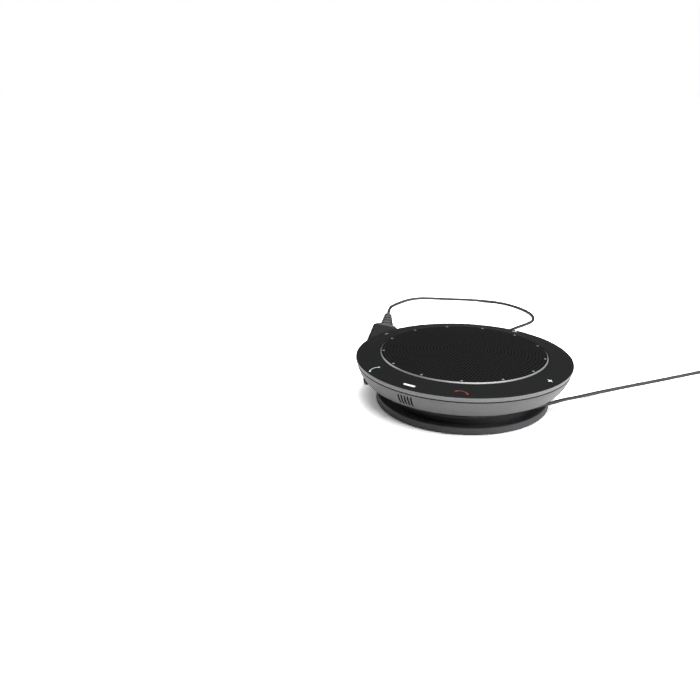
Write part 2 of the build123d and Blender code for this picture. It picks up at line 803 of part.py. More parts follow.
with BuildPart() as speaker_spider:
    with BuildSketch(Plane.XY.offset(spider_z)):
        Circle(spider_r)
        Circle(coil_r, mode=Mode.SUBTRACT)
    extrude(amount=spider_t)
speaker_spider.part.label = "speaker_spider"
export_step(speaker_spider.part, "parts/speaker_spider.step")

# Main board round the magnet, its screws and its larger parts
with BuildPart() as main_board:
    with BuildSketch(Plane.XY.offset(main_board_z)):
        Circle(main_board_r)
        Circle(main_board_inner_r, mode=Mode.SUBTRACT)
        with Locations(ring_points(case_screw_ring_r, case_screw_az)):
            Circle(case_boss_r + 3.0 * joint_fit, mode=Mode.SUBTRACT)
        with Locations(ring_points(board_post_ring_r, board_post_az)):
            Circle(board_screw[0] + screw_fit, mode=Mode.SUBTRACT)
    extrude(amount=main_board_t)
main_board.part.label = "main_board"
export_step(main_board.part, "parts/main_board.step")

with BuildPart() as board_screws:
    with Locations(
        [
            Location((x, y, board_top_z + board_screw[2]), (180, 0, 0))
            for x, y in ring_points(board_post_ring_r, board_post_az)
        ]
    ):
        add(screw(board_screw, board_screw[2] + main_board_t + 1.0))
board_screws.part.label = "board_screws"
export_step(board_screws.part, "parts/board_screws.step")

with BuildPart() as processor:
    with BuildSketch(Plane.XY.offset(board_top_z)):
        with Locations((0, 28.0)):
            Rectangle(9.0, 9.0)
    extrude(amount=1.0)
processor.part.label = "processor"
export_step(processor.part, "parts/processor.step")

with BuildPart() as audio_chips:
    with BuildSketch(Plane.XY.offset(board_top_z)):
        with Locations((-28.0, 0), (28.0, 0)):
            Rectangle(5.0, 6.0)
    extrude(amount=1.0)
audio_chips.part.label = "audio_chips"
export_step(audio_chips.part, "parts/audio_chips.step")

with BuildPart() as shield_can:
    with BuildSketch(Plane.XY.offset(board_top_z)):
        with Locations((0, -29.0)):
            RectangleRounded(14.0, 11.0, 0.8)
    extrude(amount=2.2)
shield_can.part.label = "shield_can"
export_step(shield_can.part, "parts/shield_can.step")

with BuildPart() as capacitors:
    with BuildSketch(Plane.XY.offset(board_top_z)):
        with Locations(ring_points(40.0, (62.0, 69.0, 76.0))):
            Circle(2.0)
    extrude(amount=5.0)
capacitors.part.label = "capacitors"
export_step(capacitors.part, "parts/capacitors.step")

# Flat cable from the main board's connector up to the touch board
connector_l = 3.0
with BuildPart() as flex_connector:
    with BuildSketch(Plane.XY.offset(board_top_z)):
        with Locations(
            Location((*polar(flex_r - connector_l / 2.0, flex_az), 0), (0, 0, flex_az))
        ):
            Rectangle(connector_l, flex_w + 2.0)
    extrude(amount=2.5)
flex_connector.part.label = "flex_connector"
export_step(flex_connector.part, "parts/flex_connector.step")

with BuildPart() as flex_cable:
    with BuildSketch(Plane.XY.offset(board_top_z + 0.5)):
        with Locations(Location((*polar(flex_r + flex_t / 2.0, flex_az), 0), (0, 0, flex_az))):
            Rectangle(flex_t, flex_w)
    extrude(amount=baffle_top_z - board_top_z - 0.5)
flex_cable.part.label = "flex_cable"
export_step(flex_cable.part, "parts/flex_cable.step")

# Two wires from the board up to the loudspeaker's flange
wire_ring_r = driver_r - 1.5
wire_r = 0.45
with BuildPart() as speaker_wires:
    with BuildSketch(Plane.XY.offset(board_top_z)):
        with Locations(ring_points(wire_ring_r, (18.0, 23.0))):
            Circle(wire_r)
    extrude(amount=driver_flange_z - board_top_z)
speaker_wires.part.label = "speaker_wires"
export_step(speaker_wires.part, "parts/speaker_wires.step")

# Microphone capsule in its rubber boot, behind the slots
boot_back_r = body_r - 17.5
inner_mid_z = inner_mid[1]
boot_top_z = inner_mid_z + 2.9
with BuildPart() as mic_boot:
    with BuildSketch(radial_plane(mic_az)):
        with BuildLine():
            Polyline(
                (boot_back_r, board_top_z),
                (body_r - 8.8, board_top_z),
                (body_r - 6.2, inner_mid_z - 1.7),
                (body_r - 5.1, inner_mid_z + 0.6),
                (body_r - 4.4, boot_top_z),
                (boot_back_r, boot_top_z),
                close=True,
            )
        make_face()
    extrude(amount=mic_boot_w / 2.0, both=True)
    with BuildSketch(outward_plane(mic_face_r - mic_depth, mic_az, mic_z)):
        Circle(mic_r)
    extrude(amount=9.0, mode=Mode.SUBTRACT)
mic_boot.part.label = "mic_boot"
export_step(mic_boot.part, "parts/mic_boot.step")

with BuildPart() as microphone:
    with BuildSketch(outward_plane(mic_face_r - mic_depth, mic_az, mic_z)):
        Circle(mic_r)
    extrude(amount=mic_depth)
microphone.part.label = "microphone"
export_step(microphone.part, "parts/microphone.step")

# Headset socket on the main board, its round nose in the shell's opening
jack_top_z = inner_mid_z + 1.9
with BuildPart() as headset_socket:
    with BuildSketch(radial_plane(jack_az)):
        with BuildLine():
            Polyline(
                (jack_back_r, board_top_z),
                (body_r - 9.2, board_top_z),
                (body_r - 7.2, inner_mid_z - 2.3),
                (body_r - 5.5, inner_mid_z + 0.7),
                (body_r - 5.5, jack_top_z),
                (jack_back_r, jack_top_z),
                close=True,
            )
        make_face()
    extrude(amount=jack_w / 2.0, both=True)
    with BuildSketch(outward_plane(body_r - 10.0, jack_az, jack_z)):
        Circle(jack_nose_r)
    extrude(amount=jack_mouth_r - (body_r - 10.0))
    with BuildSketch(outward_plane(jack_mouth_r - jack_bore_l, jack_az, jack_z)):
        Circle(jack_bore_r)
    extrude(amount=jack_bore_l, mode=Mode.SUBTRACT)
headset_socket.part.label = "headset_socket"
export_step(headset_socket.part, "parts/headset_socket.step")

# Socket for the lead's plug
lead_socket_top_z = inner_mid_z + 1.2
with BuildPart() as lead_socket:
    with BuildSketch(radial_plane(lead_az)):
        with BuildLine():
            Polyline(
                (lead_socket_back_r, board_top_z),
                (body_r - 9.2, board_top_z),
                (body_r - 7.0, inner_mid_z - 2.0),
                (body_r - 5.7, inner_mid_z + 0.8),
                (body_r - 5.7, lead_socket_top_z),
                (lead_socket_back_r, lead_socket_top_z),
                close=True,
            )
        make_face()
    extrude(amount=lead_socket_w / 2.0, both=True)
    with BuildSketch(outward_plane(lead_nose_end_r - 0.5, lead_az, lead_z)):
        RectangleRounded(
            lead_nose_w + 2.0 * joint_fit, lead_nose_h + 2.0 * joint_fit, 0.6 + joint_fit
        )
    extrude(amount=12.0, mode=Mode.SUBTRACT)
lead_socket.part.label = "lead_socket"
export_step(lead_socket.part, "parts/lead_socket.step")

with BuildPart() as lead_plug_nose:
    with BuildSketch(outward_plane(lead_nose_end_r, lead_az, lead_z)):
        RectangleRounded(lead_nose_w, lead_nose_h, 0.6)
    extrude(amount=lead_nose_root_r - lead_nose_end_r)
lead_plug_nose.part.label = "lead_plug_nose"
export_step(lead_plug_nose.part, "parts/lead_plug_nose.step")

def direction(az, lift):
    """Unit vector at that azimuth, lifted from the level by that much."""
    x, y = polar(cos(radians(lift)), az)
    return Vector(x, y, sin(radians(lift)))


# Plug's own axes: along it towards the cord, across it, and its thickness, rolled a little.
# The soft strain relief bends away from the plug's axis towards the cord.
plug_axis = direction(plug_az, plug_lift)
relief_axis = direction(relief_az, plug_lift)
plug_level = Vector(sin(radians(plug_az)), -cos(radians(plug_az)), 0)
plug_across = plug_level.rotate(Axis((0, 0, 0), tuple(plug_axis)), plug_roll)
relief_base = Vector(*plug_tip) - relief_axis * relief_l
plug_front = relief_base - plug_axis * plug_l


def plug_plane(along):
    """Plane across the plug, that far from its front end."""
    return Plane(
        origin=plug_front + plug_axis * along, x_dir=plug_across, z_dir=plug_axis
    )


def relief_plane(along):
    """Plane across the strain relief, that far from its base."""
    side = (plug_across - relief_axis * plug_across.dot(relief_axis)).normalized()
    return Plane(origin=relief_base + relief_axis * along, x_dir=side, z_dir=relief_axis)


with BuildPart() as lead_plug_body:
    with BuildSketch(plug_plane(0)):
        RectangleRounded(plug_w, plug_t, plug_corner_r)
    extrude(amount=plug_l - plug_shoulder)
    with BuildSketch(plug_plane(plug_l - plug_shoulder)):
        RectangleRounded(plug_w, plug_t, plug_corner_r)
    with BuildSketch(plug_plane(plug_l)):
        RectangleRounded(
            plug_w - 2.0 * plug_shoulder, plug_t - 0.6 * plug_shoulder, plug_corner_r
        )
    loft()
    collar_in_r, collar_out_r, collar_w, collar_h = plug_collar
    with BuildSketch(outward_plane(collar_in_r, lead_az, lead_z)):
        RectangleRounded(collar_w, collar_h, 1.2)
    extrude(amount=collar_out_r - collar_in_r)
    with BuildSketch(outward_plane(lead_nose_end_r, lead_az, lead_z)):
        RectangleRounded(lead_nose_w, lead_nose_h, 0.6)
    extrude(amount=lead_nose_root_r - lead_nose_end_r, mode=Mode.SUBTRACT)
lead_plug_body.part.label = "lead_plug_body"
export_step(lead_plug_body.part, "parts/lead_plug_body.step")

# Tapered, ribbed strain relief
with BuildPart() as lead_strain_relief:
    with BuildSketch(plug_plane(plug_l)):
        RectangleRounded(relief_base_w, relief_base_t, 2.4)
    with BuildSketch(relief_plane(relief_l)):
        Circle(relief_tip_d / 2.0)
    loft()
    for rib in range(relief_ribs):
        rib_at = relief_l * (rib + 0.6) / (relief_ribs + 0.6)
        left = 1.0 - rib_at / relief_l
        with BuildSketch(relief_plane(rib_at)):
            RectangleRounded(
                relief_tip_d + (relief_base_w - relief_tip_d) * left + 0.7,
                relief_tip_d + (relief_base_t - relief_tip_d) * left + 0.7,
                1.7 + 0.9 * left,
            )
        extrude(amount=1.1)
lead_strain_relief.part.label = "lead_strain_relief"
export_step(lead_strain_relief.part, "parts/lead_strain_relief.step")

# Route of the lead: over the back in a loop, down the left, round the spool and off to the right
loop_route = [
    plug_tip,
    (-79.2, 43.2, 29.3),
    (-80.6, 52.0, 29.2),
    (-84.5, 67.5, 27.0),
    (-90.0, 86.0, 23.5),
    (-94.5, 106.5, 19.0),
    (-98.2, 127.5, 13.5),
    (-98.6, 151.5, 7.4),
    (-93.0, 172.0, 3.2),
    (-82.0, 184.5, 1.3),
    (-67.5, 188.5, 1.0),
    (-53.0, 185.5, 1.0),
    (-40.0, 178.5, 1.0),
    (-31.2, 169.5, 1.0),
    (-26.6, 159.0, 1.0),
    (-27.8, 147.0, 1.0),
    (-31.0, 131.0, 1.0),
    (-32.6, 108.0, 1.0),
    (-34.6, 84.0, 1.2),
    (-36.9, 58.0, 5.2),
    (-39.3, 31.0, groove_z),
]
wrap_step = (wrap_to - wrap_from) / wrap_corners
wrap_corner_r = wrap_r / cos(radians(wrap_step / 2.0))
wrap_route = [
    (*polar(wrap_corner_r, wrap_from + (corner + 0.5) * wrap_step), groove_z)
    for corner in range(wrap_corners)
]
away_route = [
    (50.2, 8.4, 7.2),
    (52.6, 22.5, 5.2),
    (54.2, 33.0, 2.9),
    (57.0, 44.5, 1.5),
    (62.4, 56.5, 1.0),
    (70.5, 71.0, 1.0),
    (79.8, 87.0, 1.0),
    (89.6, 104.4, 1.0),
]
coil_sweep = coil_in_az - coil_out_az + 360.0 * coil_turns
coil_count = int(coil_sweep / 360.0 * coil_corners + 0.5)
coil_step = coil_sweep / coil_count
coil_corner_r = coil_turn_r / cos(radians(coil_step / 2.0))
coil_route = []
for corner in range(coil_count):
    turned = (corner + 0.5) * coil_step
    at_x, at_y = polar(coil_corner_r, coil_in_az - turned)
    rise = coil_pitch * turned / 360.0
    coil_route.append((coil_at[0] + at_x, coil_at[1] + at_y, cord_d / 2.0 + rise))
tail_route = [
    (134.5, 135.2, 11.0),
    (137.4, 126.0, 9.4),
    (140.2, 117.2, 6.0),
    (142.6, 109.6, 4.2),
]
usb_heading = (0.30, -0.954)
usb_start = (145.0, 102.3, usb_t / 2.0)


def middle(first, second):
    """Point halfway between two."""
    return tuple((a + b) / 2.0 for a, b in zip(first, second))


coil_start = middle(away_route[-1], coil_route[0])
coil_end = middle(coil_route[-1], tail_route[0])

with BuildPart() as lead_cord:
    lead_solid, lead_l = tube([*loop_route, *wrap_route, *away_route, coil_start])
    add(lead_solid)
lead_cord.part.label = "lead_cord"
export_step(lead_cord.part, "parts/lead_cord.step")

with BuildPart() as lead_coil:
    coil_solid, coil_l = tube([coil_start, *coil_route, coil_end])
    add(coil_solid)
lead_coil.part.label = "lead_coil"
export_step(lead_coil.part, "parts/lead_coil.step")

with BuildPart() as lead_tail:
    tail_solid, tail_l = tube([coil_end, *tail_route, usb_start])
    add(tail_solid)
lead_tail.part.label = "lead_tail"
export_step(lead_tail.part, "parts/lead_tail.step")
print(f"whole lead {lead_l + coil_l + tail_l:.0f} mm")

# Tie round the coil's turns, on the side away from both ends
tie_az = 255.0
tie_gap = 0.3
tie_in_w = cord_d + 2.0 * tie_gap
tie_in_h = coil_pitch * (coil_turns - 1) + tie_in_w
tie_turned = (coil_in_az - tie_az) % 360.0
tie_z = cord_d / 2.0 + coil_pitch * (tie_turned / 360.0 + (coil_turns - 1) / 2.0)
with BuildPart() as coil_tie:
    tie_at = polar(coil_turn_r, tie_az)
    tie_plane = Plane(
        origin=(coil_at[0] + tie_at[0], coil_at[1] + tie_at[1], tie_z),
        x_dir=(cos(radians(tie_az)), sin(radians(tie_az)), 0),
        z_dir=(sin(radians(tie_az)), -cos(radians(tie_az)), 0),
    )
    with BuildSketch(tie_plane):
        RectangleRounded(tie_in_w + 2.0 * tie_t, tie_in_h + 2.0 * tie_t, 1.6)
        RectangleRounded(tie_in_w, tie_in_h, 0.8, mode=Mode.SUBTRACT)
    extrude(amount=tie_w / 2.0, both=True)
coil_tie.part.label = "coil_tie"
export_step(coil_tie.part, "parts/coil_tie.step")


def usb_plane(along):
    """Plane across the far plug, that far from where the cord enters it."""
    heading = Vector(*usb_heading, 0).normalized()
    return Plane(
        origin=Vector(*usb_start) + heading * along,
        x_dir=(-heading.Y, heading.X, 0),
        z_dir=heading,
    )


# Plug at the far end: strain relief, moulded grip, metal shell and the tongue inside it
with BuildPart() as usb_strain_relief:
    with BuildSketch(usb_plane(0)):
        Circle(usb_relief_tip_d / 2.0)
    with BuildSketch(usb_plane(usb_relief_l)):
        RectangleRounded(6.4, 5.4, 2.2)
    loft()
usb_strain_relief.part.label = "usb_strain_relief"
export_step(usb_strain_relief.part, "parts/usb_strain_relief.step")

with BuildPart() as usb_grip:
    with BuildSketch(usb_plane(usb_relief_l)):
        RectangleRounded(usb_w - 3.0, usb_t - 1.2, 2.0)
    with BuildSketch(usb_plane(usb_relief_l + 3.0)):
        RectangleRounded(usb_w, usb_t, 2.0)
    loft()
    with BuildSketch(usb_plane(usb_relief_l + 3.0)):
        RectangleRounded(usb_w, usb_t, 2.0)
    extrude(amount=usb_l - 3.0)
usb_grip.part.label = "usb_grip"
export_step(usb_grip.part, "parts/usb_grip.step")

with BuildPart() as usb_shell:
    with BuildSketch(usb_plane(usb_relief_l + usb_l)):
        RectangleRounded(usb_shell_w, usb_shell_t, 0.5)
        Rectangle(
            usb_shell_w - 2.0 * usb_shell_wall,
            usb_shell_t - 2.0 * usb_shell_wall,
            mode=Mode.SUBTRACT,
        )
    extrude(amount=usb_shell_l)
usb_shell.part.label = "usb_shell"
export_step(usb_shell.part, "parts/usb_shell.step")

with BuildPart() as usb_tongue:
    tongue_up = (usb_shell_t - usb_tongue_t) / 2.0 - usb_shell_wall
    with BuildSketch(usb_plane(usb_relief_l + usb_l)):
        with Locations((0, tongue_up)):
            Rectangle(usb_shell_w - 2.0 * usb_shell_wall, usb_tongue_t)
    extrude(amount=usb_shell_l - 1.0)
usb_tongue.part.label = "usb_tongue"
export_step(usb_tongue.part, "parts/usb_tongue.step")
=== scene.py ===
"""Conference speakerphone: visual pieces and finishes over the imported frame.

Every length is in metres and every angle in radians, +Z is up, and the badge's place and the
microphone slots face -Y. The frame's bodies and nodes are loaded first, and each operator adds
its pieces to them.
"""

from math import asin, cos, pi, radians, sin, sqrt, tau

import bmesh
import bpy
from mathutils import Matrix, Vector


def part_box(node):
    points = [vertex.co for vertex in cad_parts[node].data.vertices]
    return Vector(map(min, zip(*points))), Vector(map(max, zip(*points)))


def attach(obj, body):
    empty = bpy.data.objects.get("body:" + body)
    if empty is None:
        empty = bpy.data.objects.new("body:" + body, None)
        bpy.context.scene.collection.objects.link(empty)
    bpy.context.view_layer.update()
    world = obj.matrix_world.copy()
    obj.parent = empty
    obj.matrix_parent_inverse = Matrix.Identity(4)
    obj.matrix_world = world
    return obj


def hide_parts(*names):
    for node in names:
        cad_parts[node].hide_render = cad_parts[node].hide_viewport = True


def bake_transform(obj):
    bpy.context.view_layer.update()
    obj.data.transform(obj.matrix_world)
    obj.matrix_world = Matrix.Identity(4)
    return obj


bl_info = {
    "name": "Conference speakerphone",
    "version": (1, 0, 0),
    "blender": (4, 5, 0),
    "location": "3D View > Sidebar > Speakerphone",
    "description": "Builds the speakerphone's visual pieces over its packed frame",
    "category": "Object",
}

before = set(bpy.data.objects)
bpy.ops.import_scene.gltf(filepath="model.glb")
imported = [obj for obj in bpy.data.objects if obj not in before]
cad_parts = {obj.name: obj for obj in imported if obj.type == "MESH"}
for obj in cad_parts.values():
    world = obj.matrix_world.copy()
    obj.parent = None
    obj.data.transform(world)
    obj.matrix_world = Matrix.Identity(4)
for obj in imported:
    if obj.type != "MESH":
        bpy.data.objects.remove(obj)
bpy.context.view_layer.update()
HOUSING = "housing"
FRONT = radians(270.0)
WHITE = (1.0, 1.0, 1.0, 1.0)


# Small helpers for places


def polar(radius, angle, z=0.0):
    """Point at that radius, angle and height."""
    return Vector((radius * cos(angle), radius * sin(angle), z))


def heading(azimuth, lift):
    """Unit vector at that azimuth, lifted from the level."""
    return polar(cos(lift), azimuth, sin(lift))


def half_width(box):
    """Half of a box's side along X."""
    return (box[1][0] - box[0][0]) / 2.0


# Grille and its lights
GRILLE_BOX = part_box("speaker_grille")
GRILLE_RADIUS = half_width(GRILLE_BOX)
GRILLE_RISE = 0.0022
LIGHT_COUNT = 13
LIGHT_RING_RADIUS = GRILLE_RADIUS - 0.0018
LIGHT_HOLE_RADIUS = 0.00065
HOLE_SIDES, LIGHT_HOLE_SIDES, RIM_SIDES = 10, 20, 144

# Dark gap under the silver band: its middle, and how far the painted shade along the gap
# reaches from there to either side
BAND_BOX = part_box("rim_band")
SEAM_HEIGHT = BAND_BOX[0][2] - 0.000275
SEAM_SHADE_REACH = 0.00029

# Slope of the touch ring, which the signs follow
RING_INNER = GRILLE_RADIUS + 0.0009
RING_OUTER = half_width(BAND_BOX) - 0.0003
RING_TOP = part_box("control_ring")[1][2]
RING_FALL = 0.0020
SIGN_RADIUS = 0.0553
MARK_RADIUS = 0.0560
STROKE_STEP = 0.0003

# The lead's plug and its bent strain relief
LEAD_START = Vector((-0.0764, 0.0382, 0.0266))
RELIEF_LENGTH = 0.0125
RELIEF_AXIS = heading(radians(119.1), radians(25.3))
PLUG_AXIS = heading(radians(107.0), radians(25.3))
PLUG_REAR = LEAD_START - RELIEF_AXIS * RELIEF_LENGTH
# Length of the plug's rear band that is painted grey as painted light on its shoulder
PLUG_LIT_BAND_LENGTH = 0.0023


# Small helpers for nodes, objects and meshes


def add_node(tree, kind, inputs=None, **settings):
    """Adds a node, sets its properties, and fills each input with a value or a join."""
    made = tree.nodes.new(kind)
    for name, value in settings.items():
        setattr(made, name, value)
    for key, value in (inputs or {}).items():
        if isinstance(value, bpy.types.NodeSocket):
            tree.links.new(value, made.inputs[key])
        else:
            made.inputs[key].default_value = value
    return made


def calc(tree, operation, *values):
    """Output of a math node on those values or sockets."""
    return add_node(
        tree, "ShaderNodeMath", dict(enumerate(values)), operation=operation
    ).outputs[0]


def vector_calc(tree, operation, *values):
    """Output of a vector math node on those values or sockets."""
    made = add_node(tree, "ShaderNodeVectorMath", dict(enumerate(values)), operation=operation)
    single = operation in {"LENGTH", "DOT_PRODUCT"}
    return made.outputs["Value" if single else "Vector"]


def combine(tree, x=0.0, y=0.0, z=0.0):
    """Vector from three values or sockets."""
    return add_node(tree, "ShaderNodeCombineXYZ", {0: x, 1: y, 2: z}).outputs[0]


def level(tree, place):
    """A place brought down to the level through the origin."""
    return vector_calc(tree, "MULTIPLY", place, (1.0, 1.0, 0.0))


def add_object(name, data):
    """New object in the scene, at the origin."""
    made = bpy.data.objects.new(name, data)
    bpy.context.scene.collection.objects.link(made)
    return made


def show(name, mesh, finish):
    """Puts a finished mesh on the housing, with its material and slot."""
    piece = add_object(name, mesh)
    mesh.materials.clear()
    mesh.materials.append(finish_named(finish))
    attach(piece, HOUSING)
    return piece


def plain_mesh(form, name):
    """Mesh from a bmesh, which is freed."""
    mesh = bpy.data.meshes.new(name)
    form.to_mesh(mesh)
    form.free()
    return mesh


def smooth_mesh(form, name, crisp_angle=radians(35.0)):
    """Smooth mesh with joined points, outward normals, and its sharper edges kept crisp."""
    bmesh.ops.remove_doubles(form, verts=form.verts, dist=1e-7)
    bmesh.ops.recalc_face_normals(form, faces=form.faces)
    mesh = plain_mesh(form, name)
    mesh.polygons.foreach_set("use_smooth", [True] * len(mesh.polygons))
    mesh.set_sharp_from_angle(angle=crisp_angle)
    mesh.update()
    return mesh


# Finishes: patterns first, then the table of materials


def grain(tree, place, size, detail=3.0, stretch=(1.0, 1.0, 1.0)):
    """Fine random grain of about that size, longer along an axis whose stretch is small."""
    if stretch != (1.0, 1.0, 1.0):
        place = add_node(
            tree, "ShaderNodeMapping", {"Vector": place, "Scale": stretch}
        ).outputs[0]
    noise = add_node(
        tree,
        "ShaderNodeTexNoise",
        {"Vector": place, "Scale": 1.0 / size, "Detail": detail, "Roughness": 0.6},
    )
    return noise.outputs[0]


def first_channel(tree, color):
    """First channel of a colour."""
    return add_node(tree, "ShaderNodeSeparateColor", {0: color}).outputs[0]


def voronoi(tree, place, size):
    """Outputs of a field of random cells of about that size."""
    return add_node(
        tree, "ShaderNodeTexVoronoi", {"Vector": place, "Scale": 1.0 / size}
    ).outputs


def cells(tree, place, size):
    """Random cells, each with its own tone, such as flakes or grains."""
    return first_channel(tree, voronoi(tree, place, size)["Color"])


def pores(tree, place, size):
    """Round hollows between soft walls, as in foam."""
    return voronoi(tree, place, size)["Distance"]


def stripes(tree, place, size, axis="Z"):
    """Parallel rounded ridges across an axis."""
    made = add_node(
        tree,
        "ShaderNodeTexWave",
        {"Vector": place, "Scale": tau / 20.0 / size, "Distortion": 0.0},
        wave_profile="SIN",
        wave_type="BANDS",
        bands_direction=axis,
    )
    return made.outputs["Fac"]


def weave(tree, place, size):
    """Threads over and under each other in two directions."""
    threads = [stripes(tree, place, size, axis) for axis in ("X", "Y")]
    return calc(tree, "MAXIMUM", *threads)


def traces(tree, place, size):
    """Copper lines and pads under a board's mask."""
    made = add_node(
        tree,
        "ShaderNodeTexBrick",
        {
            "Vector": place,
            "Color1": (0.0, 0.0, 0.0, 1.0),
            "Color2": (0.25, 0.25, 0.25, 1.0),
            "Mortar": WHITE,
            "Scale": 0.2 / size,
            "Mortar Size": 0.06,
            "Mortar Smooth": 0.2,
        },
        offset_frequency=3,
    )
    return first_channel(tree, made.outputs["Color"])


def brushed(tree, place, size):
    """Long fine lines along X."""
    return grain(tree, place, size, 4.0, (0.04, 1.0, 1.0))


PATTERNS = {
    "grain": grain,
    "cells": cells,
    "pores": pores,
    "weave": weave,
    "traces": traces,
    "brushed": brushed,
    "turns": stripes,
}

# Name: colour, roughness, metallic, pattern, its size, tone span, roughness span, relief depth
FINISHES = {
    "foot_rubber": ((0.028, 0.028, 0.030), 0.80, 0.0, "grain", 0.0004, 0.25, 0.08, 3e-5),
    "base_grey": ((0.052, 0.053, 0.056), 0.42, 0.0, "grain", 0.0003, 0.14, 0.08, 8e-6),
    "spool_black": ((0.016, 0.016, 0.017), 0.60, 0.0, "grain", 0.0004, 0.20, 0.10, 1e-5),
    "screw_steel": ((0.42, 0.42, 0.43), 0.35, 1.0, "brushed", 0.0002, 0.20, 0.12, 4e-6),
    "acoustic_cloth": ((0.010, 0.010, 0.010), 0.95, 0.0, "weave", 0.0004, 0.45, 0.05, 6e-5),
    "light_pipe": ((0.30, 0.31, 0.32), 0.25, 0.0, "grain", 0.0003, 0.12, 0.08, 4e-6),
    "board_green": ((0.012, 0.085, 0.036), 0.32, 0.0, "traces", 0.0010, 0.60, 0.10, 2e-5),
    "chip_white": ((0.62, 0.61, 0.56), 0.50, 0.0, "grain", 0.0003, 0.10, 0.08, 6e-6),
    "inner_black": ((0.022, 0.022, 0.023), 0.58, 0.0, "grain", 0.0005, 0.22, 0.10, 1.5e-5),
    "foam_rubber": ((0.030, 0.030, 0.031), 0.90, 0.0, "pores", 0.0005, 0.45, 0.06, 8e-5),
    "basket_steel": ((0.33, 0.33, 0.34), 0.40, 1.0, "cells", 0.0016, 0.16, 0.12, 6e-6),
    "magnet_ferrite": ((0.050, 0.050, 0.054), 0.62, 0.3, "cells", 0.0004, 0.35, 0.14, 2e-5),
    "coil_copper": ((0.56, 0.25, 0.10), 0.34, 0.9, "turns", 0.00025, 0.35, 0.10, 5e-5),
    "cone_paper": ((0.040, 0.040, 0.041), 0.82, 0.0, "grain", 0.0007, 0.35, 0.08, 4e-5),
    "chip_black": ((0.024, 0.024, 0.026), 0.55, 0.0, "grain", 0.0002, 0.20, 0.10, 8e-6),
    "shield_tin": ((0.40, 0.40, 0.395), 0.34, 1.0, "brushed", 0.0003, 0.14, 0.10, 5e-6),
    "flex_amber": ((0.42, 0.19, 0.03), 0.30, 0.0, "traces", 0.0004, 0.40, 0.08, 1e-5),
    "cord_black": ((0.019, 0.019, 0.020), 0.52, 0.0, "grain", 0.0003, 0.22, 0.10, 1.5e-5),
    "plug_black": ((0.021, 0.021, 0.022), 0.50, 0.0, "grain", 0.0002, 0.20, 0.10, 8e-6),
    # The strain relief's grey is lighter than the plug's black as painted light, standing in
    # for the light from behind on its ribs
    "relief_grey": ((0.055, 0.055, 0.057), 0.55, 0.0, "grain", 0.0002, 0.20, 0.10, 1e-5),
    "sign_white": ((0.80, 0.82, 0.82), 0.50, 0.0, "grain", 0.0002, 0.08, 0.08, 2e-6),
    "sign_green": ((0.50, 0.62, 0.54), 0.50, 0.0, "grain", 0.0002, 0.08, 0.08, 2e-6),
    "sign_red": ((0.20, 0.028, 0.022), 0.50, 0.0, "grain", 0.0002, 0.10, 0.08, 2e-6),
    "tie_black": ((0.030, 0.030, 0.031), 0.55, 0.0, "grain", 0.0003, 0.20, 0.10, 1e-5),
}

# Frame nodes that each finish is on
FINISH_NODES = {
    "foot_rubber": ["foot_ring"],
    "base_grey": ["base_plate"],
    "spool_black": ["cable_spool"],
    "screw_steel": [
        "base_screws", "case_screws", "ring_screws", "speaker_screws", "board_screws",
    ],
    "silver_paint": ["lower_shell"],
    "band_silver": ["rim_band"],
    "ring_charcoal": ["control_ring"],
    "grille_black": ["speaker_grille"],
    "acoustic_cloth": ["grille_cloth", "speaker_spider"],
    "light_pipe": ["led_lenses"],
    "board_green": ["touch_board", "main_board"],
    "chip_white": ["led_chips", "flex_connector", "usb_tongue"],
    "inner_black": ["speaker_baffle", "headset_socket", "lead_socket"],
    "foam_rubber": ["speaker_gasket", "speaker_surround", "mic_boot"],
    "basket_steel": ["speaker_basket", "speaker_yoke", "top_plate"],
    "magnet_ferrite": ["ring_magnet"],
    "coil_copper": ["voice_coil"],
    "cone_paper": ["speaker_cone", "dust_cap"],
    "chip_black": ["processor", "audio_chips"],
    "shield_tin": ["shield_can", "capacitors", "microphone", "lead_plug_nose", "usb_shell"],
    "flex_amber": ["flex_cable"],
    "cord_black": ["speaker_wires", "lead_cord", "lead_coil", "lead_tail"],
    "plug_moulding": ["lead_plug_body"],
    "relief_grey": ["lead_strain_relief"],
    "tie_black": ["coil_tie"],
    "plug_black": ["usb_strain_relief", "usb_grip"],
}
NODE_FINISHES = {node: finish for finish, nodes in FINISH_NODES.items() for node in nodes}


def finish_named(name):
    """Material of that name, made before."""
    return bpy.data.materials[f"{name}_finish"]


def start_finish(name, color, roughness, metallic, specular=0.5):
    """New material with its even values set on the shader itself."""
    finish = bpy.data.materials.new(f"{name}_finish")
    finish.use_nodes = True
    shader = finish.node_tree.nodes["Principled BSDF"]
    shader.inputs["Base Color"].default_value = (*color, 1.0)
    shader.inputs["Roughness"].default_value = roughness
    shader.inputs["Metallic"].default_value = metallic
    shader.inputs["Specular IOR Level"].default_value = specular
    return finish, finish.node_tree, shader


def paint(tree, shader, factor, first, second):
    """Base colour that goes from the first colour to the second with the factor."""
    mixed = add_node(
        tree,
        "ShaderNodeMix",
        {"Factor": factor, 6: first, 7: second},
        data_type="RGBA",
    ).outputs[2]
    tree.links.new(mixed, shader.inputs["Base Color"])
    return mixed


def tint(tree, shader, factor, color, span):
    """Base colour that runs from darker to lighter with the factor."""
    darker = tuple(c * (1.0 - span) for c in color)
    lighter = tuple(min(1.0, c * (1.0 + span)) for c in color)
    return paint(tree, shader, factor, (*darker, 1.0), (*lighter, 1.0))


def between(tree, factor, low, high):
    """Value that goes from low to high with the factor."""
    return add_node(
        tree, "ShaderNodeMapRange", {"Value": factor, "To Min": low, "To Max": high}
    ).outputs[0]


def vary(tree, shader, name, factor, low, high):
    """Shader input that goes from low to high with the factor."""
    tree.links.new(between(tree, factor, low, high), shader.inputs[name])


def roughen(tree, shader, factor, roughness, span):
    """Roughness that runs up and down round its middle value with the factor."""
    vary(tree, shader, "Roughness", factor, roughness - span, roughness + span)


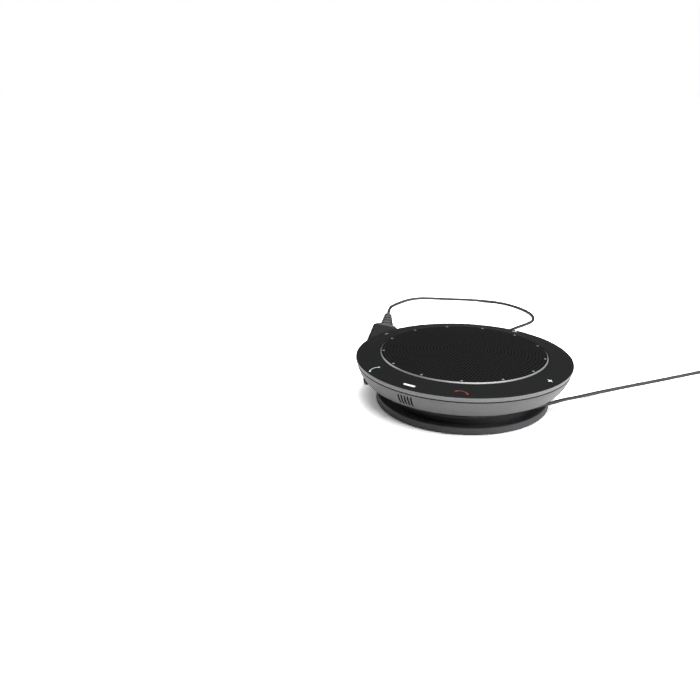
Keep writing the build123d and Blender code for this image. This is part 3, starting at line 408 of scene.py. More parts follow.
def emboss(tree, shader, height, depth):
    """Small relief from a height between 0 and 1."""
    bump = add_node(tree, "ShaderNodeBump", {"Height": height, "Distance": depth})
    tree.links.new(bump.outputs[0], shader.inputs["Normal"])


def own_place(tree):
    """Coordinates of the piece itself."""
    return add_node(tree, "ShaderNodeTexCoord").outputs["Object"]


def mottled(tree, place, factor, size, share):
    """The factor with broad grain of that size mixed in, which takes up a share of it."""
    rest = calc(tree, "MULTIPLY", factor, 1.0 - share)
    return calc(tree, "MULTIPLY_ADD", grain(tree, place, size, 2.0), share, rest)


def simple_finish(name):
    """Material from its line in the table."""
    color, roughness, metallic, pattern, size, span, rough_span, depth = FINISHES[name]
    _, tree, shader = start_finish(name, color, roughness, metallic)
    place = own_place(tree)
    factor = PATTERNS[pattern](tree, place, size)
    both = mottled(tree, place, factor, size=0.012, share=0.4)
    tint(tree, shader, both, color, span)
    roughen(tree, shader, both, roughness, rough_span)
    emboss(tree, shader, factor, depth)


def silver_finish(name, color):
    """Satin silver paint with fine flakes, unpainted dark plastic in its cuts, and painted
    shade in and beside the gap under the band.
    """
    roughness, metallic = 0.36, 0.3
    # Dark of unpainted plastic in the cuts, used also as painted shade in the gap under the
    # band
    unpainted_plastic_and_shade = (0.010, 0.010, 0.011, 1.0)
    steepest = 0.22
    _, tree, shader = start_finish(name, color, roughness, metallic)
    place = own_place(tree)
    flakes = cells(tree, place, 0.00022)
    peel = grain(tree, place, 0.0018, 2.0)
    painted = tint(tree, shader, flakes, color, span=0.16)
    outward = vector_calc(tree, "NORMALIZE", level(tree, place))
    facing = add_node(tree, "ShaderNodeNewGeometry").outputs["True Normal"]
    across = vector_calc(tree, "DOT_PRODUCT", facing, outward)
    height = add_node(tree, "ShaderNodeSeparateXYZ", {0: place}).outputs[2]
    # Painted shade: faces in and just beside the gap under the band get the dark of unpainted
    # plastic, whichever way they face
    off_seam = calc(tree, "ABSOLUTE", calc(tree, "SUBTRACT", height, SEAM_HEIGHT))
    seam_shade = calc(tree, "LESS_THAN", off_seam, SEAM_SHADE_REACH)
    # Faces turned away from the outside, such as the slots' walls, are unpainted dark plastic,
    # which partly stands as painted shade in those cuts
    unpainted_and_seam_shade = calc(tree, "MAXIMUM", calc(tree, "LESS_THAN", across, steepest), seam_shade)
    paint(tree, shader, unpainted_and_seam_shade, painted, unpainted_plastic_and_shade)
    vary(tree, shader, "Metallic", unpainted_and_seam_shade, metallic, 0.0)
    roughen(tree, shader, flakes, roughness, span=0.07)
    emboss(tree, shader, peel, depth=9e-6)


def charcoal_finish(values):
    """Charcoal touch surface, dead matt, with a faint sheen that varies over the ring."""
    color = tuple(values.charcoal)
    roughness = 0.55
    _, tree, shader = start_finish("ring_charcoal", color, roughness, 0.0, 0.12)
    place = own_place(tree)
    fine = grain(tree, place, 0.00025)
    both = mottled(tree, place, fine, size=0.018, share=0.5)
    tint(tree, shader, both, color, span=0.14)
    roughen(tree, shader, both, roughness, span=0.10)
    emboss(tree, shader, fine, depth=3e-6)


def grille_finish(values):
    """Dead matt black coat on the grille, and glossier uncoated metal on its bevelled edge,
    painted light grey as a painted highlight.
    """
    color = (0.0060, 0.0060, 0.0064)
    bevel_start = GRILLE_RADIUS - values.bevel - 0.00002
    _, tree, shader = start_finish("grille_black", color, 0.6, 0.0, 0.12)
    place = own_place(tree)
    fine = grain(tree, place, 0.0002)
    matt = tint(tree, shader, fine, color, span=0.2)
    reach = vector_calc(tree, "LENGTH", level(tree, place))
    # Painted highlight: the bevelled edge is uncoated glossier metal, and its light grey
    # colour stands in for the highlight along that edge
    edge = calc(tree, "GREATER_THAN", reach, bevel_start)
    edge_highlight_grey = between(tree, brushed(tree, place, 0.0002), 0.26, 0.36)
    bright = add_node(tree, "ShaderNodeCombineColor", {0: edge_highlight_grey, 1: edge_highlight_grey, 2: edge_highlight_grey})
    paint(tree, shader, edge, matt, bright.outputs[0])
    vary(tree, shader, "Roughness", edge, 0.62, 0.30)
    vary(tree, shader, "Metallic", edge, 0.0, 0.35)
    emboss(tree, shader, fine, depth=6e-6)


def plug_finish():
    """Moulded plug: dark sides, and painted light on the last few millimetres where the strain
    relief joins it, a greyer band that stands in for the light from behind on that shoulder.
    """
    color, roughness = (0.006, 0.006, 0.0063), 0.5
    _, tree, shader = start_finish("plug_moulding", color, roughness, 0.0, 0.2)
    place = own_place(tree)
    fine = grain(tree, place, 0.0002)
    dark = tint(tree, shader, fine, color, span=0.2)
    from_rear = vector_calc(tree, "SUBTRACT", place, tuple(PLUG_REAR))
    along = vector_calc(tree, "DOT_PRODUCT", from_rear, tuple(PLUG_AXIS))
    # Painted light: the band next to the strain relief is painted grey, standing in for the
    # light from behind on that shoulder
    painted_light_band = calc(tree, "GREATER_THAN", along, -PLUG_LIT_BAND_LENGTH)
    paint(tree, shader, painted_light_band, dark, (0.085, 0.085, 0.088, 1.0))
    roughen(tree, shader, fine, roughness, span=0.08)
    emboss(tree, shader, fine, depth=1e-5)


# Values that a user would change


class SpeakerphoneStage(bpy.types.PropertyGroup):
    """Camera, lamps and sky"""

    camera_place: bpy.props.FloatVectorProperty(
        name="Camera place",
        description="Where the camera stands",
        default=(0.1896, -0.3604, 0.1735),
        subtype="TRANSLATION",
        unit="LENGTH",
    )
    camera_turn: bpy.props.FloatVectorProperty(
        name="Camera turn",
        description="How the camera is turned",
        default=(radians(70.278), 0.0, radians(36.7)),
        subtype="EULER",
    )
    focal_length: bpy.props.FloatProperty(
        name="Focal length",
        description="Focal length of the lens on a 36 mm wide sensor",
        default=39.35,
        subtype="DISTANCE_CAMERA",
    )
    key_power: bpy.props.FloatProperty(
        name="Key light",
        description="Power of the large soft lamp over the object",
        default=20.0,
        min=0.0,
        subtype="POWER",
        unit="POWER",
    )
    fill_power: bpy.props.FloatProperty(
        name="Fill light",
        description="Power of the low lamp at the right",
        default=7.0,
        min=0.0,
        subtype="POWER",
        unit="POWER",
    )
    side_power: bpy.props.FloatProperty(
        name="Side light",
        description="Power of the weak lamp at the left",
        default=1.1,
        min=0.0,
        subtype="POWER",
        unit="POWER",
    )
    sky_strength: bpy.props.FloatProperty(
        name="Sky",
        description="Strength of the even light from all round",
        default=0.15,
        min=0.0,
    )


class SpeakerphoneCase(bpy.types.PropertyGroup):
    """Colours of the case"""

    silver: bpy.props.FloatVectorProperty(
        name="Silver paint",
        description="Colour of the bowl",
        default=(0.135, 0.135, 0.137),
        subtype="COLOR",
        min=0.0,
        max=1.0,
    )
    # The band's colour is the bowl's silver paint made lighter, as painted light for the band
    # catching more of the lamps' light
    band: bpy.props.FloatVectorProperty(
        name="Band",
        description="Colour of the brighter band round the edge",
        default=(0.20, 0.20, 0.202),
        subtype="COLOR",
        min=0.0,
        max=1.0,
    )
    charcoal: bpy.props.FloatVectorProperty(
        name="Charcoal",
        description="Colour of the touch ring",
        default=(0.0080, 0.0082, 0.0086),
        subtype="COLOR",
        min=0.0,
        max=1.0,
    )


class SpeakerphoneGrille(bpy.types.PropertyGroup):
    """Sizes of the perforated grille"""

    pitch: bpy.props.FloatProperty(
        name="Hole pitch",
        description="Distance from one hole's middle to the next",
        default=0.001875,
        min=0.0015,
        unit="LENGTH",
        precision=5,
    )
    hole_radius: bpy.props.FloatProperty(
        name="Hole radius",
        description="Radius of each hole",
        default=0.00056,
        min=0.0002,
        unit="LENGTH",
    )
    field_radius: bpy.props.FloatProperty(
        name="Field radius",
        description="Radius of the round field that holds the holes",
        default=GRILLE_RADIUS - 0.0012,
        unit="LENGTH",
    )
    thickness: bpy.props.FloatProperty(
        name="Thickness",
        description="Thickness of the grille's plate",
        default=0.0008,
        unit="LENGTH",
    )
    # The bevel's size also sets the width of the painted highlight on the grille's edge
    bevel: bpy.props.FloatProperty(
        name="Edge bevel",
        description="Size of the bright bevel round the grille's top edge",
        default=0.0005,
        unit="LENGTH",
    )


class SpeakerphoneSuspension(bpy.types.PropertyGroup):
    """Sizes of the cone's surround and spider"""

    cone_radius: bpy.props.FloatProperty(
        name="Cone radius",
        description="Radius of the cone's rim, where the surround begins",
        default=0.0224,
        unit="LENGTH",
    )
    roll_radius: bpy.props.FloatProperty(
        name="Roll radius",
        description="Radius of the surround's half roll",
        default=0.0021,
        unit="LENGTH",
    )
    coil_radius: bpy.props.FloatProperty(
        name="Coil radius",
        description="Radius of the voice coil, where the spider begins",
        default=0.0069,
        unit="LENGTH",
    )
    film: bpy.props.FloatProperty(
        name="Film thickness",
        description="Thickness of surround and spider",
        default=0.0003,
        unit="LENGTH",
    )
    corrugations: bpy.props.IntProperty(
        name="Corrugations",
        description="Number of waves in the spider",
        default=4,
        min=1,
    )
    corrugation_height: bpy.props.FloatProperty(
        name="Corrugation height",
        description="Height of the spider's waves above its middle",
        default=0.0003,
        unit="LENGTH",
    )
    wedges: bpy.props.IntProperty(
        name="Wedges",
        description="Number of wedges that each flexing part is cut into",
        default=12,
        min=6,
    )


class SpeakerphoneLead(bpy.types.PropertyGroup):
    """Sizes of the lead"""

    diameter: bpy.props.FloatProperty(
        name="Diameter",
        description="Diameter of the lead's jacket",
        default=0.002,
        min=0.001,
        unit="LENGTH",
    )
    length: bpy.props.FloatProperty(
        name="Length",
        description="Length of the whole lead from plug to plug",
        default=1.03,
        unit="LENGTH",
    )


# Operators, one for each piece or group of pieces


class SPEAKERPHONE_OT_finishes(bpy.types.Operator):
    """Make every material and give each of the frame's nodes its own"""

    bl_idname = "speakerphone.finishes"
    bl_label = "Finishes"

    def execute(self, context):
        values = context.scene.speakerphone_case
        silver_finish("silver_paint", tuple(values.silver))
        # The band gets the same finish with its lighter colour, which is painted light
        silver_finish("band_silver", tuple(values.band))
        charcoal_finish(values)
        grille_finish(context.scene.speakerphone_grille)
        plug_finish()
        for name in FINISHES:
            simple_finish(name)
        for node, finish in NODE_FINISHES.items():
            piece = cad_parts[node]
            piece.data.materials.clear()
            piece.data.materials.append(finish_named(finish))
            for place in piece.material_slots:
                place.material = finish_named(finish)
        return {"FINISHED"}


def lead_route(diameter):
    """Points that the lead follows, from its plug to the far plug's strain relief."""
    groove_z, groove_radius = 0.0075, 0.0422
    wrap_from, wrap_to, wrap_corners = radians(175.0), radians(334.7), 5
    coil_from, coil_to, coil_turns = radians(150.6), radians(17.5), 4
    coil_radius, coil_pitch, corners_to_a_turn = 0.0112, 0.00225, 16
    over_the_back = [
        tuple(LEAD_START),
        (-0.0792, 0.0432, 0.0293),
        (-0.0806, 0.0520, 0.0292),
        (-0.0845, 0.0675, 0.0270),
        (-0.0900, 0.0860, 0.0235),
        (-0.0945, 0.1065, 0.0190),
        (-0.0982, 0.1275, 0.0135),
        (-0.0986, 0.1515, 0.0074),
        (-0.0930, 0.1720, 0.0032),
        (-0.0820, 0.1845, 0.0013),
        (-0.0675, 0.1885, 0.0010),
        (-0.0530, 0.1855, 0.0010),
        (-0.0400, 0.1785, 0.0010),
        (-0.0312, 0.1695, 0.0010),
        (-0.0266, 0.1590, 0.0010),
        (-0.0278, 0.1470, 0.0010),
        (-0.0310, 0.1310, 0.0010),
        (-0.0326, 0.1080, 0.0010),
        (-0.0346, 0.0840, 0.0012),
        (-0.0369, 0.0580, 0.0052),
        (-0.0393, 0.0310, groove_z),
    ]
    turn = (wrap_to - wrap_from) / wrap_corners
    wrap_radius = groove_radius / cos(turn / 2.0)
    round_the_spool = [
        polar(wrap_radius, wrap_from + (corner + 0.5) * turn, groove_z)
        for corner in range(wrap_corners)
    ]
    away = [
        (0.0502, 0.0084, 0.0072),
        (0.0526, 0.0225, 0.0052),
        (0.0542, 0.0330, 0.0029),
        (0.0570, 0.0445, 0.0015),
        (0.0624, 0.0565, 0.0010),
        (0.0705, 0.0710, 0.0010),
        (0.0798, 0.0870, 0.0010),
        (0.0896, 0.1044, 0.0010),
    ]
    coil_middle = Vector((0.1215, 0.1390, diameter / 2.0))
    sweep = coil_from - coil_to + coil_turns * tau
    corners = round(sweep / tau * corners_to_a_turn)
    step = sweep / corners
    corner_radius = coil_radius / cos(step / 2.0)
    turned = [(corner + 0.5) * step for corner in range(corners)]
    coil = [
        coil_middle + polar(corner_radius, coil_from - angle, coil_pitch * angle / tau)
        for angle in turned
    ]
    tail = [
        (0.1345, 0.1352, 0.0110),
        (0.1374, 0.1260, 0.0094),
        (0.1402, 0.1172, 0.0060),
        (0.1426, 0.1096, 0.0042),
        (0.1450, 0.1023, 0.0040),
    ]
    return [*over_the_back, *round_the_spool, *away, *coil, *tail]


class SPEAKERPHONE_OT_lead(bpy.types.Operator):
    """Lay the lead on its route, from the plug behind the case to its far plug"""

    bl_idname = "speakerphone.lead"
    bl_label = "Lead"

    def execute(self, context):
        values = context.scene.speakerphone_lead
        points = lead_route(values.diameter)
        line = bpy.data.curves.new("lead", "CURVE")
        line.dimensions = "3D"
        line.bevel_depth = values.diameter / 2.0
        line.bevel_resolution = 4
        line.resolution_u = 10
        line.use_fill_caps = True
        spline = line.splines.new("NURBS")
        spline.points.add(len(points) - 1)
        for point, place in zip(spline.points, points):
            point.co = (*place, 1.0)
        spline.order_u = 3
        spline.use_endpoint_u = True
        spline.use_smooth = True
        line.materials.append(finish_named("cord_black"))
        lead = add_object("lead", line)
        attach(lead, HOUSING)
        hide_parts("lead_cord", "lead_coil", "lead_tail")
        return {"FINISHED"}


def sphere_drop(tree, reach, edge_radius, rise):
    """How far a round cap of that edge radius and rise has fallen at a distance."""
    edge_square, reach_square = (
        calc(tree, "POWER", length, 2.0) for length in (edge_radius, reach)
    )
    squares = calc(tree, "MULTIPLY_ADD", rise, rise, edge_square)
    round_r = calc(tree, "DIVIDE", squares, calc(tree, "MULTIPLY", rise, 2.0))
    left = calc(tree, "SUBTRACT", calc(tree, "POWER", round_r, 2.0), reach_square)
    return calc(tree, "SUBTRACT", round_r, calc(tree, "SQRT", left))


def geometry_tree(name, inputs):
    """Empty Geometry Nodes tree with named inputs of each kind and one geometry output."""
    tree = bpy.data.node_groups.new(name, "GeometryNodeTree")
    tree.interface.new_socket("Geometry", in_out="INPUT", socket_type="NodeSocketGeometry")
    for kind, labels in inputs.items():
        for label in labels:
            tree.interface.new_socket(label, in_out="INPUT", socket_type=kind)
    tree.interface.new_socket("Geometry", in_out="OUTPUT", socket_type="NodeSocketGeometry")
    return tree, add_node(tree, "NodeGroupInput").outputs


def close_tree(tree, geometry, material):
    """Ends a tree in Realize Instances and Set Material."""
    solid = add_node(tree, "GeometryNodeRealizeInstances", {"Geometry": geometry})
    painted = add_node(
        tree, "GeometryNodeSetMaterial", {"Geometry": solid.outputs[0], "Material": material}
    )
    add_node(tree, "NodeGroupOutput", {"Geometry": painted.outputs[0]})


def run_tree(name, tree, values):
    """Plain mesh that a tree makes with those values."""
    holder = add_object(name, bpy.data.meshes.new(name))
    modifier = holder.modifiers.new(name, "NODES")
    modifier.node_group = tree
    for item in tree.interface.items_tree:
        if item.in_out == "INPUT" and item.name in values:
            modifier[item.identifier] = values[item.name]
    graph = bpy.context.evaluated_depsgraph_get()
    mesh = bpy.data.meshes.new_from_object(holder.evaluated_get(graph), depsgraph=graph)
    holder.modifiers.clear()
    bpy.data.objects.remove(holder)
    return mesh


def circle(tree, radius, sides):
    """Round outline in the level."""
    inputs = {"Resolution": sides, "Radius": radius}
    return add_node(tree, "GeometryNodeCurvePrimitiveCircle", inputs).outputs[0]


def discs(tree, points, radius, sides):
    """Round outline on every one of those points."""
    inputs = {"Points": points, "Instance": circle(tree, radius, sides)}
    return add_node(tree, "GeometryNodeInstanceOnPoints", inputs).outputs[0]


def grille_tree():
    """Domed plate with rings of small holes, a hole for each light and a bevelled edge."""
    tree, given = geometry_tree(
        "perforated_plate",
        {
            "NodeSocketFloat": (
                *("Pitch", "Hole Radius", "Field Radius", "Plate Radius"),
                *("Light Ring Radius", "Light Hole Radius"),
                *("Top Height", "Rise", "Thickness", "Bevel"),
            ),
            "NodeSocketInt": ("Light Count",),
            "NodeSocketMaterial": ("Material",),
        },
    )
    plate = given["Plate Radius"]
    rim_share, clear_of_light, weld = 0.999, 1.3, 1e-6

    def points(count, distance, angle):
        """Points in the level, each at its distance and angle."""
        x = calc(tree, "MULTIPLY", distance, calc(tree, "COSINE", angle))
        y = calc(tree, "MULTIPLY", distance, calc(tree, "SINE", angle))
        inputs = {"Count": count, "Position": combine(tree, x, y)}
        return add_node(tree, "GeometryNodePoints", inputs).outputs[0]

    def raised(mesh, height, **selection):
        """Outputs of a node that extrudes faces straight up."""
        inputs = {"Mesh": mesh, "Offset": combine(tree, z=height), **selection}
        inputs.update({"Offset Scale": 1.0, "Individual": False})
        return add_node(tree, "GeometryNodeExtrudeMesh", inputs, mode="FACES").outputs

    # Ring number i holds 6 i holes, so the holes before ring i are 3 i (i - 1) + 1
    rings = calc(tree, "FLOOR", calc(tree, "DIVIDE", given["Field Radius"], given["Pitch"]))
    number = add_node(tree, "GeometryNodeInputIndex").outputs[0]
    inner_count = calc(tree, "MULTIPLY_ADD", rings, rings, rings)
    root = calc(tree, "SQRT", calc(tree, "MULTIPLY_ADD", number, 4.0 / 3.0, 1.0))
    ring = calc(tree, "CEIL", calc(tree, "MULTIPLY_ADD", root, 0.5, -0.5001))
    pairs = calc(tree, "MULTIPLY", ring, calc(tree, "SUBTRACT", ring, 1.0))
    in_ring = calc(tree, "SUBTRACT", number, calc(tree, "MULTIPLY_ADD", pairs, 3.0, 1.0))
    share = calc(tree, "DIVIDE", in_ring, calc(tree, "MULTIPLY", ring, 6.0))
    spread = calc(tree, "MULTIPLY_ADD", share, tau, -pi / 2.0)
    radius = calc(tree, "MULTIPLY", ring, given["Pitch"])

    # Holes that would cut into a light's hole are left out
    light_share = calc(tree, "DIVIDE", number, given["Light Count"])
    turn = calc(tree, "MULTIPLY_ADD", light_share, tau, -pi / 2.0)
    lights = points(given["Light Count"], given["Light Ring Radius"], turn)
    nearness = add_node(
        tree, "GeometryNodeProximity", {"Geometry": lights}, target_element="POINTS"
    ).outputs["Distance"]
    light_hole = given["Light Hole Radius"]
    closest = calc(tree, "MULTIPLY_ADD", given["Hole Radius"], clear_of_light, light_hole)
    places = points(calc(tree, "MULTIPLY_ADD", inner_count, 3.0, 1.0), radius, spread)
    too_near = calc(tree, "LESS_THAN", nearness, closest)
    holes = add_node(
        tree,
        "GeometryNodeDeleteGeometry",
        {"Geometry": places, "Selection": too_near},
        domain="POINT",
    ).outputs[0]
    joined = add_node(tree, "GeometryNodeJoinGeometry").inputs[0]
    for outline in (
        discs(tree, holes, given["Hole Radius"], HOLE_SIDES),
        discs(tree, lights, light_hole, LIGHT_HOLE_SIDES),
        circle(tree, plate, RIM_SIDES),
    ):
        tree.links.new(outline, joined)
    outlines = add_node(
        tree, "GeometryNodeRealizeInstances", {"Geometry": joined.node.outputs[0]}
    ).outputs[0]
    sheet = add_node(tree, "GeometryNodeFillCurve", {"Curve": outlines}).outputs[0]

    # The sheet gets its thickness, and its top rim is drawn in by the bevel
    place = add_node(tree, "GeometryNodeInputPosition").outputs[0]
    reach = vector_calc(tree, "LENGTH", level(tree, place))
    straight = calc(tree, "SUBTRACT", given["Thickness"], given["Bevel"])
    lower = raised(sheet, straight)
    upper = raised(lower["Mesh"], given["Bevel"], Selection=lower["Top"])
    outer = calc(tree, "GREATER_THAN", reach, calc(tree, "MULTIPLY", plate, rim_share))
    top_rim = add_node(
        tree, "FunctionNodeBooleanMath", {0: outer, 1: upper["Top"]}, operation="AND"
    ).outputs[0]
    drawn_in = calc(tree, "DIVIDE", calc(tree, "SUBTRACT", plate, given["Bevel"]), plate)
    moved = vector_calc(tree, "MULTIPLY", place, combine(tree, drawn_in, drawn_in, 1.0))
    bevelled = add_node(
        tree,
        "GeometryNodeSetPosition",
        {"Geometry": upper["Mesh"], "Selection": top_rim, "Position": moved},
    ).outputs[0]
    both = add_node(tree, "GeometryNodeJoinGeometry").inputs[0]
    tree.links.new(add_node(tree, "GeometryNodeFlipFaces", {"Mesh": sheet}).outputs[0], both)
    tree.links.new(bevelled, both)
    solid = add_node(
        tree,
        "GeometryNodeMergeByDistance",
        {"Geometry": both.node.outputs[0], "Distance": weld},
    ).outputs[0]
    base = calc(tree, "SUBTRACT", given["Top Height"], given["Thickness"])
    height = calc(tree, "SUBTRACT", base, sphere_drop(tree, reach, plate, given["Rise"]))
    domed = add_node(
        tree,
        "GeometryNodeSetPosition",
        {"Geometry": solid, "Offset": combine(tree, z=height)},
    ).outputs[0]
    close_tree(tree, domed, given["Material"])
    return tree


class SPEAKERPHONE_OT_grille(bpy.types.Operator):
    """Make the perforated, domed grille over the loudspeaker"""

    bl_idname = "speakerphone.grille"
    bl_label = "Grille"

    def execute(self, context):
        values = context.scene.speakerphone_grille
        mesh = run_tree(
            "perforated_grille",
            grille_tree(),
            {
                "Pitch": values.pitch,
                "Hole Radius": values.hole_radius,
                "Field Radius": values.field_radius,
                "Plate Radius": GRILLE_RADIUS,
                "Light Count": LIGHT_COUNT,
                "Light Ring Radius": LIGHT_RING_RADIUS,
                "Light Hole Radius": LIGHT_HOLE_RADIUS,
                "Top Height": GRILLE_BOX[1][2],
                "Rise": GRILLE_RISE,
                "Thickness": values.thickness,
                "Bevel": values.bevel,
                "Material": finish_named("grille_black"),
            },
        )
        form = bmesh.new()
        form.from_mesh(mesh)
        mesh = smooth_mesh(form, "perforated_grille")
        piece = show("perforated_grille", mesh, "grille_black")
        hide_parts("speaker_grille")
        return {"FINISHED"}


def ring_sector(name, outline, first, last, steps=6):
    """Closed wedge of a turned shape, from its outline of (radius, height) points."""
    form = bmesh.new()
    turns = [first + (last - first) * step / steps for step in range(steps + 1)]
    rows = [[form.verts.new(polar(r, turn, z)) for r, z in outline] for turn in turns]
    for row, after in zip(rows, rows[1:]):
        for i in range(len(outline)):
            form.faces.new((row[i - 1], row[i], after[i], after[i - 1]))
    form.faces.new(rows[0])
    form.faces.new(rows[-1])
    return smooth_mesh(form, name)


def half_circle(middle, base, radius, last=0.0, steps=18):
    """Points of (radius, height) over a half circle, from its inner side to the last angle."""
    turns = [pi + (last - pi) * step / steps for step in range(steps + 1)]
    return [(middle + radius * cos(turn), base + radius * sin(turn)) for turn in turns]


def surround_outline(values):
    """Half roll from the cone's rim to the frame's mouth, and the flat lip outside it."""
    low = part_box("speaker_surround")[0][2]
    lip_radius = half_width(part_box("speaker_surround"))
    roll, thick = values.roll_radius, values.film
    middle = values.cone_radius + roll
    outer = half_circle(middle, low, roll, last=asin(thick / roll))
    inner = half_circle(middle, low, roll - thick)
    return [*outer, (lip_radius, low + thick), (lip_radius, low), *reversed(inner)]


def spider_outline(values):
    """Thin centring disc with round corrugations between its two flat rims."""
    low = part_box("speaker_spider")[0][2]
    inner, outer = values.coil_radius, half_width(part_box("speaker_spider"))
    flat, thick, steps = 0.0012, values.film, 48
    upper = []
    for step in range(steps + 1):
        radius = inner + (outer - inner) * step / steps
        share = (radius - inner - flat) / (outer - inner - 2.0 * flat)
        wave = sin(tau * values.corrugations * share) if 0.0 < share < 1.0 else 0.0
        upper.append((radius, low + values.corrugation_height * wave))
    return upper + [(radius, height + thick) for radius, height in reversed(upper)]


class SPEAKERPHONE_OT_suspension(bpy.types.Operator):
    """Make the cone's surround and spider, which bend as the cone moves"""

    bl_idname = "speakerphone.suspension"
    bl_label = "Suspension"

    def execute(self, context):
        values = context.scene.speakerphone_suspension
        roll_end = values.cone_radius + 2.0 * values.roll_radius
        spider_end = half_width(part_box("speaker_spider"))
        roll_start = values.cone_radius + values.film
        kinds = (
            ("speaker_surround", surround_outline, roll_start, roll_end - values.film),
            ("speaker_spider", spider_outline, values.coil_radius, spider_end),
        )
        for node, outline, moving_radius, still_radius in kinds:
            wedge = tau / values.wedges
            for i in range(values.wedges):
                first = FRONT + wedge * i
                name = f"{node}_wedge_{i + 1:02d}"
                mesh = ring_sector(name, outline(values), first, first + wedge)
                mesh.materials.append(finish_named(NODE_FINISHES[node]))
                piece = add_object(name, mesh)
                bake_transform(piece)
                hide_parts(node)
        return {"FINISHED"}


def on_ring(radius, angle, lift):
    """Point on the touch ring's slope, raised a little."""
    share = (radius - RING_INNER) / (RING_OUTER - RING_INNER)
    return polar(radius, angle, RING_TOP - RING_FALL * share + lift)


def stroke(form, radius, angle, points, lift=4e-5, sink=4e-5):
    """Printed line on the touch ring through points of (along, outwards, width)."""
    fine = []
    for (u0, v0, w0), (u1, v1, w1) in zip(points, points[1:]):
        steps = max(1, int(sqrt((u1 - u0) ** 2 + (v1 - v0) ** 2) / STROKE_STEP))
        for step in range(steps):
            t = step / steps
            fine.append((u0 + (u1 - u0) * t, v0 + (v1 - v0) * t, w0 + (w1 - w0) * t))
    fine.append(points[-1])
    rows = []
    for i, (u, v, width) in enumerate(fine):
        before, after = fine[max(0, i - 1)], fine[min(len(fine) - 1, i + 1)]
        du, dv = after[0] - before[0], after[1] - before[1]
        size = sqrt(du * du + dv * dv)
        nu, nv = -dv / size * width / 2.0, du / size * width / 2.0
        row = []
        for side in (-1.0, 1.0):
            out = radius + v + side * nv
            turn = angle + (u + side * nu) / radius
            row.append(form.verts.new(on_ring(out, turn, lift)))
            row.append(form.verts.new(on_ring(out, turn, -sink)))
        rows.append(row)
    for (a, b, c, d), (e, f, g, h) in zip(rows, rows[1:]):
        for corners in ((a, c, g, e), (b, f, h, d), (a, e, f, b), (c, d, h, g)):
            form.faces.new(corners)
    for a, b, c, d in (rows[0], rows[-1]):
        form.faces.new((a, b, d, c))


def arc_points(radius, first, last, width, middle=(0.0, 0.0), count=12):
    """Points of a round arc for a printed line."""
    turns = [first + (last - first) * i / count for i in range(count + 1)]
    u, v = middle
    return [(u + radius * cos(turn), v + radius * sin(turn), width) for turn in turns]


def handset_strokes(turn, size=1.4):
    """Telephone handset: a bowed grip with a thick block at each end, turned in its plane."""
    half = [(0.0, 0.0010, 0.0005), (0.0008, 0.0009, 0.0005), (0.0016, 0.0005, 0.0006)]
    half += [(0.0019, 0.0003, 0.0010), (0.0024, -0.0004, 0.0010)]
    grip = [(-u, v, w) for u, v, w in reversed(half[1:])] + half
    along, across = size * cos(turn), size * sin(turn)
    return [[(u * along + v * across, u * across - v * along, w) for u, v, w in grip]]


def touch_signs():
    """Name, angle, radius, finish and printed lines of each sign on the touch ring."""
    dash = [(-0.0014, 0.0, 0.0005), (0.0014, 0.0, 0.0005)]
    rise = [(0.0, -0.0014, 0.0005), (0.0, -0.0003, 0.0005)]
    fall = [(0.0, 0.0003, 0.0005), (0.0, 0.0014, 0.0005)]
    bowl = arc_points(0.0010, pi, tau, 0.00035, (0.0, 0.0002))
    capsule = [(0.0, -0.0004, 0.0009), (0.0, 0.0011, 0.0009)]
    stem = [(0.0, -0.0014, 0.00035), (0.0, -0.0009, 0.00035)]
    slash = [(0.0013, -0.0014, 0.0003), (0.0019, 0.0014, 0.0003)]
    plate = [(-0.0034, 0.0, 0.0009), (-0.0030, 0.0, 0.0014), (0.0030, 0.0, 0.0014)]
    plate += [(0.0034, 0.0, 0.0009)]
    return [
        ("answer_sign", 241.0, SIGN_RADIUS, "sign_green", handset_strokes(radians(-101.0))),
        ("end_call_sign", 298.0, SIGN_RADIUS, "sign_red", handset_strokes(radians(19.7))),
        ("louder_sign", 351.5, SIGN_RADIUS, "sign_white", [dash, rise, fall]),
        ("quieter_sign", 175.0, SIGN_RADIUS, "sign_white", [dash]),
        ("mute_sign", 84.0, SIGN_RADIUS, "sign_white", [capsule, bowl, stem, slash]),
        ("plain_mark", 270.0, MARK_RADIUS, "sign_white", [plate]),
    ]


class SPEAKERPHONE_OT_touch_signs(bpy.types.Operator):
    """Print the touch signs, and a plain mark at the badge's place, on the ring"""

    bl_idname = "speakerphone.touch_signs"
    bl_label = "Touch signs"

    def execute(self, context):
        for name, degrees_round, radius, finish, strokes in touch_signs():
            form = bmesh.new()
            for line in strokes:
                stroke(form, radius, radians(degrees_round), line)
            bmesh.ops.recalc_face_normals(form, faces=form.faces)
            show(name, plain_mesh(form, name), finish)
        return {"FINISHED"}


# Each lamp's place, the length of its side, and the value that holds its power
LAMPS = {
    "key_lamp": ((0.24, -0.07, 1.10), 1.1, "key_power"),
    "fill_lamp": ((0.93, 0.14, 0.29), 0.5, "fill_power"),
    "side_lamp": ((-0.85, 0.02, 0.34), 0.4, "side_power"),
}
LAMP_AIM = Vector((0.0, 0.0, 0.015))


